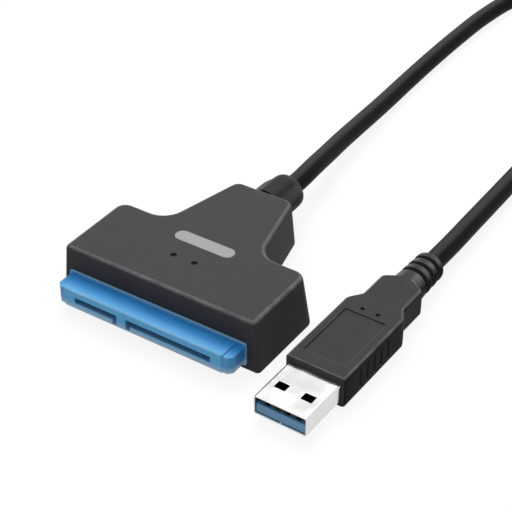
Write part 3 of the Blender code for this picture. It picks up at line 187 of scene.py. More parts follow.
def mouldedPlastic(setup):
    # mottled colour, an eroded or polished grain, and tones by place or by how a face leans, which are
    # painted highlights and painted shade, matched to the light and shade that the object was seen in
    material, tree, shader = newMaterial(setup["name"])
    place = addNode(tree, "ShaderNodeTexCoord").outputs["Object"]
    surface = addNode(tree, "ShaderNodeNewGeometry").outputs["Normal"]
    slope = addNode(tree, "ShaderNodeSeparateXYZ", inputs={0: surface})
    stretched = addNode(
        tree, "ShaderNodeMapping", inputs={"Vector": place, "Scale": setup.get("stretch", (1, 1, 1))}
    ).outputs[0]
    mottle = addNode(
        tree, "ShaderNodeTexNoise",
        inputs={"Vector": stretched, "Scale": 1 / setup["mottle"], "Detail": 3.0, "Roughness": 0.55},
    )
    colour = addNode(
        tree, "ShaderNodeMix", {"data_type": "RGBA"},
        {0: mottle.outputs[0], 6: linear(setup["dark"]), 7: linear(setup["light"])},
    )
    grain = addNode(
        tree, "ShaderNodeTexNoise",
        inputs={"Vector": place, "Scale": 1 / setup["grain"], "Detail": 2.0, "Roughness": 0.6},
    )
    result = colour.outputs[2]
    for tone in setup.get("tones", ()):
        result = toneAlong(tree, place, result, tone)
    if setup.get("flankShade"):
        # painted shade: a darker tone for steep sides, which look near black beside the top
        begin, full = leanSetup["flankShade"]
        side = addNode(tree, "ShaderNodeMath", {"operation": "ABSOLUTE"}, {0: slope.outputs["X"]}).outputs[0]
        share = addNode(tree, "ShaderNodeMapRange", inputs={0: side, 1: begin, 2: full}).outputs[0]
        result = addNode(
            tree, "ShaderNodeMix", {"data_type": "RGBA"}, {0: share, 6: result, 7: linear(setup["flankShade"])}
        ).outputs[2]
    if setup.get("crownHighlight"):
        # painted highlight: a paler tone for what faces straight up, the lit streak along the jacket
        begin, full = leanSetup["crownHighlight"]
        share = addNode(
            tree, "ShaderNodeMapRange", inputs={0: slope.outputs["Z"], 1: begin, 2: full}
        ).outputs[0]
        result = addNode(
            tree, "ShaderNodeMix", {"data_type": "RGBA"}, {0: share, 6: result, 7: linear(setup["crownHighlight"])}
        ).outputs[2]
    if setup.get("rimHighlight"):
        # painted highlight: a paler tone for rounded rims that face up, less where the mottle is dark
        share = mottle.outputs[0]
        for limit in ("rim", "upward"):
            begin, full = leanSetup[limit]
            within = addNode(
                tree, "ShaderNodeMapRange", inputs={0: slope.outputs["Z"], 1: begin, 2: full}
            ).outputs[0]
            share = addNode(
                tree, "ShaderNodeMath", {"operation": "MULTIPLY"}, {0: share, 1: within}
            ).outputs[0]
        result = addNode(
            tree, "ShaderNodeMix", {"data_type": "RGBA"}, {0: share, 6: result, 7: linear(setup["rimHighlight"])}
        ).outputs[2]
    if setup.get("print"):
        bar = setup["print"]
        ink = printMask(tree, place, grain.outputs[0], bar)
        result = addNode(
            tree, "ShaderNodeMix", {"data_type": "RGBA"}, {0: ink, 6: result, 7: linear(bar["ink"])}
        ).outputs[2]
    tree.links.new(result, shader.inputs["Base Color"])
    gloss = addNode(
        tree, "ShaderNodeMapRange",
        inputs={0: grain.outputs[0], 1: 0.3, 2: 0.7, 3: setup["rough"][0], 4: setup["rough"][1]},
    )
    tree.links.new(gloss.outputs[0], shader.inputs["Roughness"])
    bump = addNode(
        tree, "ShaderNodeBump",
        inputs={"Strength": setup["relief"], "Distance": setup["depth"], "Height": grain.outputs[0]},
    )
    tree.links.new(bump.outputs[0], shader.inputs["Normal"])
    shader.inputs["IOR"].default_value = setup["ior"]
    shader.inputs["Specular IOR Level"].default_value = setup["sheen"]
    return material


# ABS against a spark-eroded mould: a dry charcoal skin with a fine even grain,
# drawn at 0.16 mm, where the real one is nearer 0.06 mm and would not show
housingAbs = {
    "name": "charcoal ABS, spark-eroded mould",
    # the pale third tone is a painted highlight on the rounded rims that face up
    "dark": "3f3d3f", "light": "464446", "rimHighlight": "858385",
    "mottle": 3.5 * mm, "grain": 0.16 * mm, "depth": 0.03 * mm, "relief": 0.35,
    "rough": (0.50, 0.66), "ior": 1.53, "sheen": 0.07,
}
absCharcoal = mouldedPlastic(housingAbs)
# the same skin with a pale pad-printed bar on the roof
absPrinted = mouldedPlastic({
    **housingAbs,
    "name": "charcoal ABS, spark-eroded mould, pad-printed",
    "print": {
        "centre": (0.5 * mm, -6.0 * mm, 12.5 * mm), "straight": (5.6 * mm, 0.0, 1.0 * mm),
        "radius": 1.7 * mm, "soft": 0.15 * mm, "inPits": 0.6, "ink": "a4a2a4",
    },
})
# PVC over the plug: charcoal, dry and finer than the housing, with painted shade near black on its sides
# and a painted highlight on its upper rims; its grain is drawn at 0.12 mm, for a real 0.04 mm
pvcGrip = mouldedPlastic({
    "name": "black PVC, satin mould",
    "dark": "3d3b3d", "light": "474548", "flankShade": "111012", "rimHighlight": "827f83",
    "mottle": 2.6 * mm, "grain": 0.12 * mm, "depth": 0.02 * mm, "relief": 0.3,
    "rough": (0.42, 0.56), "ior": 1.54, "sheen": 0.025,
})
# PVC jacket pulled through a die: black, with a painted highlight along its top and a slight orange peel
# that is drawn at 0.25 mm, for a real 0.1 mm
pvcJacket = mouldedPlastic({
    "name": "black PVC, extruded jacket",
    "dark": "131314", "light": "1c1c1d", "crownHighlight": "39393a",
    "mottle": 0.9 * mm, "grain": 0.25 * mm, "depth": 0.03 * mm, "relief": 0.3,
    "rough": (0.40, 0.52), "ior": 1.54, "sheen": 0.03,
})
# soft PVC collar of the housing, moulded smooth: satin black between its lobes, with a painted
# highlight where they round over on top; its grain is drawn at 0.2 mm, for a real 0.05 mm
pvcCollar = mouldedPlastic({
    "name": "black PVC, soft moulded collar",
    "dark": "252526", "light": "2f2f30", "rimHighlight": "464647",
    "mottle": 2.0 * mm, "grain": 0.2 * mm, "depth": 0.02 * mm, "relief": 0.25,
    "rough": (0.40, 0.52), "ior": 1.54, "sheen": 0.06,
})
# glass-filled LCP, polished mould: blue with faint flow lines across the connector, and painted
# highlights at its front edge, its lip, its flange and its upper rims, for how they look lit from above;
# the fibres in its skin are drawn at 0.18 mm, for a real 0.02 mm
lcpBlue = mouldedPlastic({
    "name": "blue LCP, polished mould",
    "dark": "1872b6", "light": "2a8cd2", "rimHighlight": "a4d4f0",
    # the tones are painted highlights: the front, its top edge, the flange line and the lower lip
    "tones": (
        {"axis": "Y", "start": -25.4 * mm, "end": -27.9 * mm, "amount": 0.85, "tone": "5cb0e4"},
        {"axis": "Y", "start": -27.74 * mm, "end": -27.79 * mm, "amount": 0.6, "tone": "5cc0fa"},
        {"axis": "Y", "start": -22.95 * mm, "end": -22.8 * mm, "amount": 0.6, "tone": "a4d4f0"},
        {"axis": "Z", "start": 3.9 * mm, "end": 2.7 * mm, "amount": 0.7, "tone": "bcd8ec"},
    ),
    "stretch": (0.25, 1, 1), "mottle": 1.2 * mm, "grain": 0.18 * mm, "depth": 0.01 * mm, "relief": 0.2,
    "rough": (0.34, 0.44), "ior": 1.60, "sheen": 0.25,
})
# the plug's tongue, the same resin in a deeper tone of blue, with painted shade, near black, further in
lcpDeepBlue = mouldedPlastic({
    "name": "deep blue LCP, polished mould",
    "dark": "4a8abe", "light": "68a6d2",
    "tones": ({"axis": "Y", "start": -32.4 * mm, "end": -31.2 * mm, "amount": 0.95, "tone": "0c1218"},),
    "stretch": (0.3, 1, 1), "mottle": 1.5 * mm, "grain": 0.2 * mm, "depth": 0.01 * mm, "relief": 0.2,
    "rough": (0.28, 0.38), "ior": 1.60, "sheen": 0.5,
})
# natural PE moulded round the solder joints: milky, waxy, with faint sink marks
peNatural = mouldedPlastic({
    "name": "natural PE, low-pressure moulding",
    "dark": "d6d2c6", "light": "e6e3da",
    "mottle": 3.0 * mm, "grain": 0.6 * mm, "depth": 0.04 * mm, "relief": 0.4,
    "rough": (0.38, 0.5), "ior": 1.51, "sheen": 0.5,
})
wireMaterials = {}
for colourName, darkTone, lightTone in (
    ("red", "a01818", "b82222"), ("black", "141415", "202021"),
    ("white", "dcdcda", "ececea"), ("green", "1a7a34", "249040"),
):
    # thin extruded insulation, glossy with a slight orange peel
    wireMaterials[colourName] = mouldedPlastic({
        "name": f"{colourName} PVC, extruded insulation",
        "dark": darkTone, "light": lightTone,
        "mottle": 1.0 * mm, "grain": 0.15 * mm, "depth": 0.01 * mm, "relief": 0.3,
        "rough": (0.3, 0.4), "ior": 1.54, "sheen": 0.5,
    })


# materials for plated and rolled metal
def platedMetal(setup):
    # plating over rolled strip: faint lines along the rolling, small clouds in the gloss
    material, tree, shader = newMaterial(setup["name"])
    place = addNode(tree, "ShaderNodeTexCoord").outputs["Object"]
    along = addNode(tree, "ShaderNodeMapping", inputs={"Vector": place, "Scale": setup["stretch"]}).outputs[0]
    lines = addNode(
        tree, "ShaderNodeTexNoise",
        inputs={"Vector": along, "Scale": 1 / setup["line"], "Detail": 4.0, "Roughness": 0.65},
    )
    clouds = addNode(
        tree, "ShaderNodeTexNoise",
        inputs={"Vector": place, "Scale": 1 / setup["cloud"], "Detail": 2.0, "Roughness": 0.5},
    )
    colour = addNode(
        tree, "ShaderNodeMix", {"data_type": "RGBA"},
        {0: clouds.outputs[0], 6: linear(setup["dark"]), 7: linear(setup["light"])},
    )
    result = colour.outputs[2]
    for tone in setup.get("tones", ()):
        result = toneAlong(tree, place, result, tone)
    tree.links.new(result, shader.inputs["Base Color"])
    both = addNode(
        tree, "ShaderNodeMath", {"operation": "MULTIPLY"}, {0: lines.outputs[0], 1: clouds.outputs[0]}
    )
    gloss = addNode(
        tree, "ShaderNodeMapRange",
        inputs={0: both.outputs[0], 1: 0.1, 2: 0.45, 3: setup["rough"][0], 4: setup["rough"][1]},
    )
    tree.links.new(gloss.outputs[0], shader.inputs["Roughness"])
    bump = addNode(
        tree, "ShaderNodeBump",
        inputs={"Strength": setup["relief"], "Distance": setup["depth"], "Height": lines.outputs[0]},
    )
    tree.links.new(bump.outputs[0], shader.inputs["Normal"])
    shader.inputs["Metallic"].default_value = 1.0
    return material


# nickel over cold-rolled steel: bright, nearly white under a wide light;
# its rolling lines are drawn 0.18 mm wide, for real ones of 0.02 mm
nickelPlate = platedMetal({
    "name": "nickel plate, rolled steel",
    "dark": "d2d2d0", "light": "e2e2e0", "stretch": (1, 0.08, 1), "line": 0.18 * mm, "cloud": 4.0 * mm,
    "rough": (0.10, 0.22), "depth": 0.004 * mm, "relief": 0.25,
})
# flash gold over nickel on stamped bronze: warm, with lines along each spring,
# drawn 0.08 mm wide, for real ones of 0.01 mm
goldSetup = {
    "name": "flash gold plate, stamped bronze",
    "dark": "d8a850", "light": "ecc878", "stretch": (1, 0.1, 1), "line": 0.08 * mm, "cloud": 1.5 * mm,
    "rough": (0.16, 0.28), "depth": 0.002 * mm, "relief": 0.25,
}
goldPlate = platedMetal(goldSetup)
# the plug's springs show gold at their tips, with painted shade, near black, behind them in the shell
goldTips = platedMetal({
    **goldSetup,
    "name": "flash gold tips, painted shade behind",
    "tones": ({"axis": "Y", "start": -32.4 * mm, "end": -31.4 * mm, "amount": 1.0, "tone": "1c1a18"},),
})
# aluminium foil wound round each fast pair: crinkled across the wire
pairFoil = platedMetal({
    "name": "aluminium foil, wound",
    "dark": "c8c8cc", "light": "e2e2e6", "stretch": (1, 1, 1), "line": 0.5 * mm, "cloud": 2.0 * mm,
    "rough": (0.22, 0.42), "depth": 0.08 * mm, "relief": 0.6,
})


# materials for the board and what is soldered to it
def boardMask(setup):
    # green solder mask over copper: tracks show as paler lines under the lacquer
    material, tree, shader = newMaterial("green solder mask, FR4 board")
    place = addNode(tree, "ShaderNodeTexCoord").outputs["Object"]
    tracks = addNode(
        tree, "ShaderNodeTexBrick", {"offset": 0.37},
        {
            "Vector": place, "Scale": 1.0, "Mortar Size": setup["track"] / 2, "Mortar Smooth": 0.2,
            "Brick Width": setup["pitch"] * 4, "Row Height": setup["pitch"],
            "Color1": linear(setup["mask"]), "Color2": linear(setup["maskAlt"]),
            "Mortar": linear(setup["copper"]),
        },
    )
    weave = addNode(
        tree, "ShaderNodeTexNoise", inputs={"Vector": place, "Scale": 1 / setup["weave"], "Detail": 2.0}
    )
    tree.links.new(tracks.outputs["Color"], shader.inputs["Base Color"])
    bump = addNode(
        tree, "ShaderNodeBump", {"invert": True},
        {"Strength": setup["relief"], "Distance": setup["copperHeight"], "Height": tracks.outputs["Fac"]},
    )
    tree.links.new(bump.outputs[0], shader.inputs["Normal"])
    gloss = addNode(
        tree, "ShaderNodeMapRange",
        inputs={0: weave.outputs[0], 1: 0.3, 2: 0.7, 3: setup["rough"][0], 4: setup["rough"][1]},
    )
    tree.links.new(gloss.outputs[0], shader.inputs["Roughness"])
    shader.inputs["IOR"].default_value = setup["ior"]
    return material


greenBoard = boardMask({
    "track": 0.18 * mm, "pitch": 0.7 * mm, "weave": 0.4 * mm, "copperHeight": 0.03 * mm,
    "mask": "0e5a2c", "maskAlt": "116433", "copper": "2c8a4a",
    "relief": 0.4, "rough": (0.26, 0.4), "ior": 1.55,
})


def castResin(setup):
    # moulded or sintered body with a speckle of filler
    material, tree, shader = newMaterial(setup["name"])
    place = addNode(tree, "ShaderNodeTexCoord").outputs["Object"]
    filler = addNode(
        tree, "ShaderNodeTexVoronoi", inputs={"Vector": place, "Scale": 1 / setup["filler"]}
    )
    cloud = addNode(
        tree, "ShaderNodeTexNoise", inputs={"Vector": place, "Scale": 1 / setup["cloud"], "Detail": 3.0}
    )
    speckle = filler.outputs["Distance"]
    share = addNode(tree, "ShaderNodeMath", {"operation": "MULTIPLY"}, {0: speckle, 1: cloud.outputs[0]})
    colour = addNode(
        tree, "ShaderNodeMix", {"data_type": "RGBA"},
        {0: share.outputs[0], 6: linear(setup["dark"]), 7: linear(setup["light"])},
    )
    tree.links.new(colour.outputs[2], shader.inputs["Base Color"])
    bump = addNode(
        tree, "ShaderNodeBump",
        inputs={"Strength": 0.35, "Distance": setup["depth"], "Height": speckle},
    )
    tree.links.new(bump.outputs[0], shader.inputs["Normal"])
    shader.inputs["Roughness"].default_value = setup["rough"]
    shader.inputs["IOR"].default_value = setup["ior"]
    shader.inputs["Specular IOR Level"].default_value = setup.get("sheen", 0.5)
    return material


# silica-filled epoxy: matt black with a grey speckle
chipEpoxy = castResin({
    "name": "black epoxy, transfer moulded", "dark": "1a1a1b", "light": "3a3a3c",
    "filler": 0.12 * mm, "cloud": 1.0 * mm, "depth": 0.01 * mm, "rough": 0.62, "ior": 1.55,
})
# tantalum capacitor: ochre epoxy, a little glossier
tantalumEpoxy = castResin({
    "name": "ochre epoxy, moulded", "dark": "c98a1e", "light": "e0aa3c",
    "filler": 0.2 * mm, "cloud": 1.5 * mm, "depth": 0.01 * mm, "rough": 0.48, "ior": 1.55,
})
# pressed and fired ferrite powder: dull dark grey with open pores
ferriteBody = castResin({
    "name": "grey ferrite, sintered", "dark": "2c2c30", "light": "5a5a60",
    "filler": 0.15 * mm, "cloud": 0.8 * mm, "depth": 0.03 * mm, "rough": 0.78, "ior": 1.6,
})
# lamp resin with a diffusing powder
ledResin = castResin({
    "name": "diffused epoxy, cast lamp", "dark": "dcd8be", "light": "f2f0e0",
    "filler": 0.1 * mm, "cloud": 0.6 * mm, "depth": 0.004 * mm, "rough": 0.3, "ior": 1.5,
})
# smoked acrylic of the light pipes: near black when unlit, with a satin end
smokedAcrylic = castResin({
    "name": "smoked acrylic, injection moulded", "dark": "0c0c0d", "light": "1c1c1f",
    "filler": 0.5 * mm, "cloud": 0.7 * mm, "depth": 0.002 * mm, "rough": 0.4, "ior": 1.49, "sheen": 0.1,
})
print("materials made")


# cable: route repeated from the solids, from the housing to the plug
cableSetup = {
    "diameter": 4.5 * mm,
    "points": 260,
    "fineSteps": 16,
    "resolution": 10,
    "route": (
        (0.0000, 0.0281, 0.00750), (-0.0001, 0.0320, 0.00742), (-0.0008, 0.0390, 0.00700),
        (-0.0019, 0.0466, 0.00590), (-0.0030, 0.0545, 0.00490), (-0.0039, 0.0635, 0.00395),
        (-0.0050, 0.0776, 0.00280), (-0.0058, 0.0911, 0.00235), (-0.0062, 0.1061, 0.00230),
        (-0.0062, 0.1211, 0.00230), (-0.0057, 0.1351, 0.00230), (-0.0038, 0.1481, 0.00230),
        (0.0012, 0.1596, 0.00230), (0.0084, 0.1671, 0.00230), (0.0175, 0.1696, 0.00230),
        (0.0266, 0.1661, 0.00230), (0.0332, 0.1576, 0.00230), (0.0364, 0.1461, 0.00230),
        (0.0374, 0.1321, 0.00230), (0.0373, 0.1161, 0.00230), (0.0370, 0.1001, 0.00230),
        (0.0368, 0.0841, 0.00230), (0.0367, 0.0691, 0.00233), (0.0369, 0.0556, 0.00255),
        (0.0372, 0.0441, 0.00300), (0.0375, 0.0341, 0.00340), (0.03756, 0.0275, 0.00366),
        (0.03755, 0.02369, 0.00370),
    ),
}


def smoothThrough(setup):
    # a centripetal curve through the route, with its points at even spacing
    knots = [Vector(point) for point in setup["route"]]
    knots = [2 * knots[0] - knots[1], *knots, 2 * knots[-1] - knots[-2]]
    fine = []
    for index in range(1, len(knots) - 2):
        p0, p1, p2, p3 = knots[index - 1:index + 3]
        t1 = sqrt((p1 - p0).length)
        t2 = t1 + sqrt((p2 - p1).length)
        t3 = t2 + sqrt((p3 - p2).length)
        for step in range(setup["fineSteps"]):
            t = t1 + (t2 - t1) * step / setup["fineSteps"]
            a1 = p0 * (t1 - t) / t1 + p1 * t / t1
            a2 = p1 * (t2 - t) / (t2 - t1) + p2 * (t - t1) / (t2 - t1)
            a3 = p2 * (t3 - t) / (t3 - t2) + p3 * (t - t2) / (t3 - t2)
            b1 = a1 * (t2 - t) / t2 + a2 * t / t2
            b2 = a2 * (t3 - t) / (t3 - t1) + a3 * (t - t1) / (t3 - t1)
            fine.append(b1 * (t2 - t) / (t2 - t1) + b2 * (t - t1) / (t2 - t1))
    fine.append(knots[-2])
    lengths = [0.0]
    for start, end in zip(fine, fine[1:]):
        lengths.append(lengths[-1] + (end - start).length)
    spaced = []
    index = 0
    count = setup["points"]
    for number in range(count):
        wanted = lengths[-1] * number / (count - 1)
        while index < len(fine) - 2 and lengths[index + 1] < wanted:
            index += 1
        share = (wanted - lengths[index]) / (lengths[index + 1] - lengths[index])
        spaced.append(fine[index].lerp(fine[index + 1], share))
    return spaced, lengths[-1]


def buildCable(setup):
    # the tube is drawn as a curve and kept as a mesh
    points, length = smoothThrough(setup)
    curve = bpy.data.curves.new("cableRoute", "CURVE")
    curve.dimensions = "3D"
    curve.bevel_depth = setup["diameter"] / 2
    curve.bevel_resolution = setup["resolution"]
    curve.use_fill_caps = True
    spline = curve.splines.new("POLY")
    spline.points.add(len(points) - 1)
    for target, point in zip(spline.points, points):
        target.co = (*point, 1.0)
    spline.use_smooth = True
    drawn = bpy.data.objects.new("cableRoute", curve)
    scene.collection.objects.link(drawn)
    bpy.context.view_layer.update()
    solved = drawn.evaluated_get(bpy.context.evaluated_depsgraph_get())
    mesh = bpy.data.meshes.new_from_object(solved)
    bpy.data.objects.remove(drawn)
    bpy.data.curves.remove(curve)
    shape = bmesh.new()
    shape.from_mesh(mesh)
    bpy.data.meshes.remove(mesh)
    bmesh.ops.remove_doubles(shape, verts=shape.verts, dist=weldWithin)
    bmesh.ops.recalc_face_normals(shape, faces=shape.faces)
    return newPiece("cableJacket", shape, pvcJacket, 50), points, length


cableJacket, cablePath, cableLength = buildCable(cableSetup)
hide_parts("cable")
print("cable made, length", round(cableLength / mm, 1), "mm")


# pieces drawn out of a circle
def drawnTube(sides, rows, place):
    # a straight tube with one ring for each row; place() then moves every point of each ring
    shape = bmesh.new()
    bmesh.ops.create_circle(
        shape, cap_ends=True, segments=sides, radius=1.0, matrix=Matrix.Rotation(pi / 2, 4, "X")
    )
    rim = list(shape.edges)
    for _ in rows[1:]:
        drawn = bmesh.ops.extrude_edge_only(shape, edges=rim)["geom"]
        moved = [item for item in drawn if isinstance(item, bmesh.types.BMVert)]
        bmesh.ops.translate(shape, verts=moved, vec=(0, 1, 0))
        ahead = set(moved)
        rim = [item for item in drawn if isinstance(item, bmesh.types.BMEdge) and set(item.verts) <= ahead]
    bmesh.ops.holes_fill(shape, edges=rim, sides=sides)
    for vert in shape.verts:
        vert.co = place(rows[round(vert.co.y)], atan2(vert.co.z, vert.co.x))
    bmesh.ops.recalc_face_normals(shape, faces=shape.faces)
    return shape


# the plug's grip with its tail and ribbed boot, drawn in the plug's own frame
gripSetup = {
    "sides": 64,
    "place": (36.7 * mm, -33.2 * mm, 3.7 * mm),
    "turn": -0.015,
    "pocket": (17.1 * mm, 12.02 * mm, 4.52 * mm, 0.61 * mm),
    "front": 12.0 * mm,
    "frontEdge": 0.45 * mm,
    "body": (13.6 * mm, 7.4 * mm, 0.9 * mm),
    "bodyEnd": 33.9 * mm,
    "tail": (9.8 * mm, 6.6 * mm, 0.9 * mm),
    "tailStart": 37.8 * mm,
    "tailEnd": 44.6 * mm,
    "bootStart": 46.9 * mm,
    "bootEnd": 57.2 * mm,
    "bootAcross": (7.35 * mm, 6.8 * mm),
    "grooves": 3,
    "grooveWidth": 1.1 * mm,
    "grooveDepth": 1.1 * mm,
    "ribWidth": 1.5 * mm,
    "ribEdge": 0.35 * mm,
    "ribCurve": ((1.0, 0.0), (0.45, 0.12), (0.12, 0.45), (0.0, 1.0)),
    "taperRings": 8,
    "panel": (-4.9 * mm, 4.7 * mm, 15.2 * mm, 30.9 * mm),
    "panelSteps": ((0.10 * mm, -0.05 * mm), (0.05 * mm, -0.29 * mm), (0.12 * mm, -0.04 * mm)),
    "dimples": (1.8 * mm, 32.4 * mm, 0.5 * mm),
    "dimpleCorner": 0.58,
    "dimpleSteps": ((0.08 * mm, -0.15 * mm), (0.12 * mm, -0.35 * mm)),
    "sideGrooves": 5,
    "sidePitch": 2.6 * mm,
    "sideWidth": 0.9 * mm,
    "sideHeight": 4.6 * mm,
    "sideSteps": ((0.16 * mm, -0.16 * mm),),
}


def roundEdge(start, step, outline, edge):
    # rings of a quarter-round edge from a face at start to the full outline a little further on
    width, height, corner = outline
    rings = 4
    rows = []
    for number in range(rings + 1):
        turn = number / rings * pi / 2
        inset = edge * (1 - sin(turn))
        y = start + step * edge * (1 - cos(turn))
        rows.append((y, width - 2 * inset, height - 2 * inset, corner - inset / 2))
    return rows


def gripRows(setup):
    # distance from the shell's mouth, width, height and corner radius of each ring
    deep, width, height, corner = setup["pocket"]
    rows = [(deep, width, height, corner), (setup["front"], width, height, corner)]
    rows += roundEdge(setup["front"], 1, setup["body"], setup["frontEdge"])
    rows.append((setup["bodyEnd"], *setup["body"]))
    rings = setup["taperRings"]
    for number in range(1, rings + 1):
        share = number / rings
        eased = 0.5 * share + 0.5 * share * share * (3 - 2 * share)
        outline = [start + (end - start) * eased for start, end in zip(setup["body"], setup["tail"])]
        rows.append((setup["bodyEnd"] + (setup["tailStart"] - setup["bodyEnd"]) * share, *outline))
    rows.append((setup["tailEnd"], *setup["tail"]))
    root, tip = setup["bootAcross"]
    circle = (root, root, root / 2)
    for number in range(1, rings + 1):
        share = number / rings
        eased = share * share * (3 - 2 * share)
        outline = [start + (end - start) * eased for start, end in zip(setup["tail"], circle)]
        rows.append((setup["tailEnd"] + (setup["bootStart"] - setup["tailEnd"]) * share, *outline))

    def across(y):
        share = (y - setup["bootStart"]) / (setup["bootEnd"] - setup["bootStart"])
        return root + (tip - root) * share

    edge = setup["ribEdge"]
    pitch = setup["grooveWidth"] + setup["ribWidth"]
    start = setup["bootEnd"] - setup["grooves"] * pitch
    for number in range(setup["grooves"]):
        near = start + number * pitch
        far = near + setup["grooveWidth"]
        floor = across(near) - 2 * setup["grooveDepth"]
        for back, drop in setup["ribCurve"]:
            size = across(near) - 2 * edge * drop
            rows.append((near - edge * back, size, size, size / 2))
        rows.append((near + edge / 3, floor, floor, floor / 2))
        rows.append((far - edge / 3, floor, floor, floor / 2))
        for ahead, drop in reversed(setup["ribCurve"]):
            size = across(far) - 2 * edge * drop
            rows.append((far + edge * ahead, size, size, size / 2))
    end = across(setup["bootEnd"])
    rows += reversed(roundEdge(setup["bootEnd"], -1, (end, end, end / 2), 1.5 * edge))
    return rows


def gripSpot(row, turn):
    # each quarter of the ring goes round one corner of a rounded rectangle
    y, width, height, corner = row
    sides = gripSetup["sides"]
    quarter = sides // 4
    side, step = divmod(round(turn / (2 * pi) * sides) % sides, quarter)
    angle = (side + step / (quarter - 1)) * pi / 2
    corner = min(corner, width / 2, height / 2)
    right = 1 if side in (0, 3) else -1
    up = 1 if side in (0, 1) else -1
    x = right * (width / 2 - corner) + corner * cos(angle)
    z = up * (height / 2 - corner) + corner * sin(angle)
    return (x, y, z)


def cutLines(shape, axis, places):
    # straight cuts right across, which leave the shape as it is and give later steps their faces
    for place in places:
        spot = [0, 0, 0]
        normal = [0, 0, 0]
        spot[axis] = place
        normal[axis] = 1
        bmesh.ops.bisect_plane(
            shape, geom=shape.verts[:] + shape.edges[:] + shape.faces[:], dist=weldWithin,
            plane_co=spot, plane_no=normal,
        )


def sinkFaces(shape, faces, steps):
    # a recess stepped down from some faces: each step is its way inwards and its way down
    for inwards, down in steps:
        bmesh.ops.inset_region(
            shape, faces=faces, thickness=inwards, depth=down, use_even_offset=True, use_boundary=True
        )


def facesWithin(shape, low, high, direction):
    # the faces that look one way and have their middle between two corners
    found = []
    for face in shape.faces:
        middle = face.calc_center_median()
        inside = all(low[axis] < middle[axis] < high[axis] for axis in range(3))
        if inside and face.normal.dot(Vector(direction)) > 0.99:
            found.append(face)
    return found


def buildGrip(setup):
    shape = drawnTube(setup["sides"], gripRows(setup), gripSpot)
    width, height, _ = setup["body"]
    top = height / 2
    left, right, front, back = setup["panel"]
    across, dimpleY, radius = setup["dimples"]
    cutLines(shape, 1, (front, back, dimpleY - radius, dimpleY + radius))
    grooveEdges = []
    middle = (setup["front"] + setup["bodyEnd"]) / 2
    for number in range(setup["sideGrooves"]):
        grooveY = middle + (number - (setup["sideGrooves"] - 1) / 2) * setup["sidePitch"]
        grooveEdges.append((grooveY - setup["sideWidth"] / 2, grooveY + setup["sideWidth"] / 2))
    cutLines(shape, 1, [edge for pair in grooveEdges for edge in pair])
    cutLines(shape, 2, (-setup["sideHeight"] / 2, setup["sideHeight"] / 2))
    cutLines(shape, 0, (left, right))
    cutLines(shape, 0, [side * across + reach for side in (-1, 1) for reach in (-radius, radius)])
    near = 0.2 * mm  # how far off a surface its faces are looked for
    panel = facesWithin(shape, (left, front, top - near), (right, back, top + near), (0, 0, 1))
    sinkFaces(shape, panel, setup["panelSteps"])
    for low, high in grooveEdges:
        for side in (-1, 1):
            faces = facesWithin(
                shape,
                (side * width / 2 - near, low, -setup["sideHeight"] / 2),
                (side * width / 2 + near, high, setup["sideHeight"] / 2),
                (side, 0, 0),
            )
            sinkFaces(shape, faces, setup["sideSteps"])
    for side in (-1, 1):
        faces = facesWithin(
            shape,
            (side * across - radius, dimpleY - radius, top - near),
            (side * across + radius, dimpleY + radius, top + near),
            (0, 0, 1),
        )
        # the square's corners are cut off, so that the dimple is nearly round
        corners = list({vert for face in faces for vert in face.verts})
        bmesh.ops.bevel(
            shape, geom=corners, offset=setup["dimpleCorner"] * radius, segments=1, profile=0.5,
            material=-1, affect="VERTICES",
        )
        faces = facesWithin(
            shape,
            (side * across - radius / 3, dimpleY - radius / 3, top - near),
            (side * across + radius / 3, dimpleY + radius / 3, top + near),
            (0, 0, 1),
        )
        sinkFaces(shape, faces, setup["dimpleSteps"])
    turn = Matrix.Rotation(setup["turn"], 4, "Z")
    bmesh.ops.transform(shape, matrix=Matrix.Translation(setup["place"]) @ turn, verts=shape.verts)
    return newPiece("plugGrip", shape, pvcGrip, 32)


grip = buildGrip(gripSetup)
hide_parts("plug_overmould")
print("grip made")


# pieces dressed from the solids
def dressSolid(node, name, material, setup):
    # a merged copy of a solid, with its flat faces whole again and its edges softened
    shape = bmesh.new()
    shape.from_mesh(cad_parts[node].data)
    bmesh.ops.remove_doubles(shape, verts=shape.verts, dist=2 * weldWithin)
    bmesh.ops.dissolve_limit(
        shape, angle_limit=radians(setup["flat"]), verts=shape.verts, edges=shape.edges
    )
    piece = newPiece(name, shape, material, setup["sharp"])
    softEdges(piece, setup["edge"], setup["sharp"], setup["segments"])
    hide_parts(node)
    return piece


housingSetup = {"flat": 0.3, "sharp": 38, "edge": 0.10 * mm, "segments": 2}
dressSolid("housing_top_shell", "housingTop", absPrinted, housingSetup)
dressSolid("housing_bottom_shell", "housingBottom", absCharcoal, housingSetup)

receptacleSetup = {**housingSetup, "edge": 0.06 * mm}
dressSolid("sata_receptacle_body", "receptacleBody", lcpBlue, receptacleSetup)

shellSetup = {**housingSetup, "edge": 0.05 * mm}
shell = dressSolid("usb_shell", "plugShell", nickelPlate, shellSetup)
tongue = dressSolid("usb_tongue", "plugTongue", lcpDeepBlue, shellSetup)

pipeSetup = {**housingSetup, "edge": 0.12 * mm, "segments": 3}
for use in ("power", "activity"):
    dressSolid(f"{use}_light_pipe", f"{use}LightPipe", smokedAcrylic, pipeSetup)
print("solids dressed")

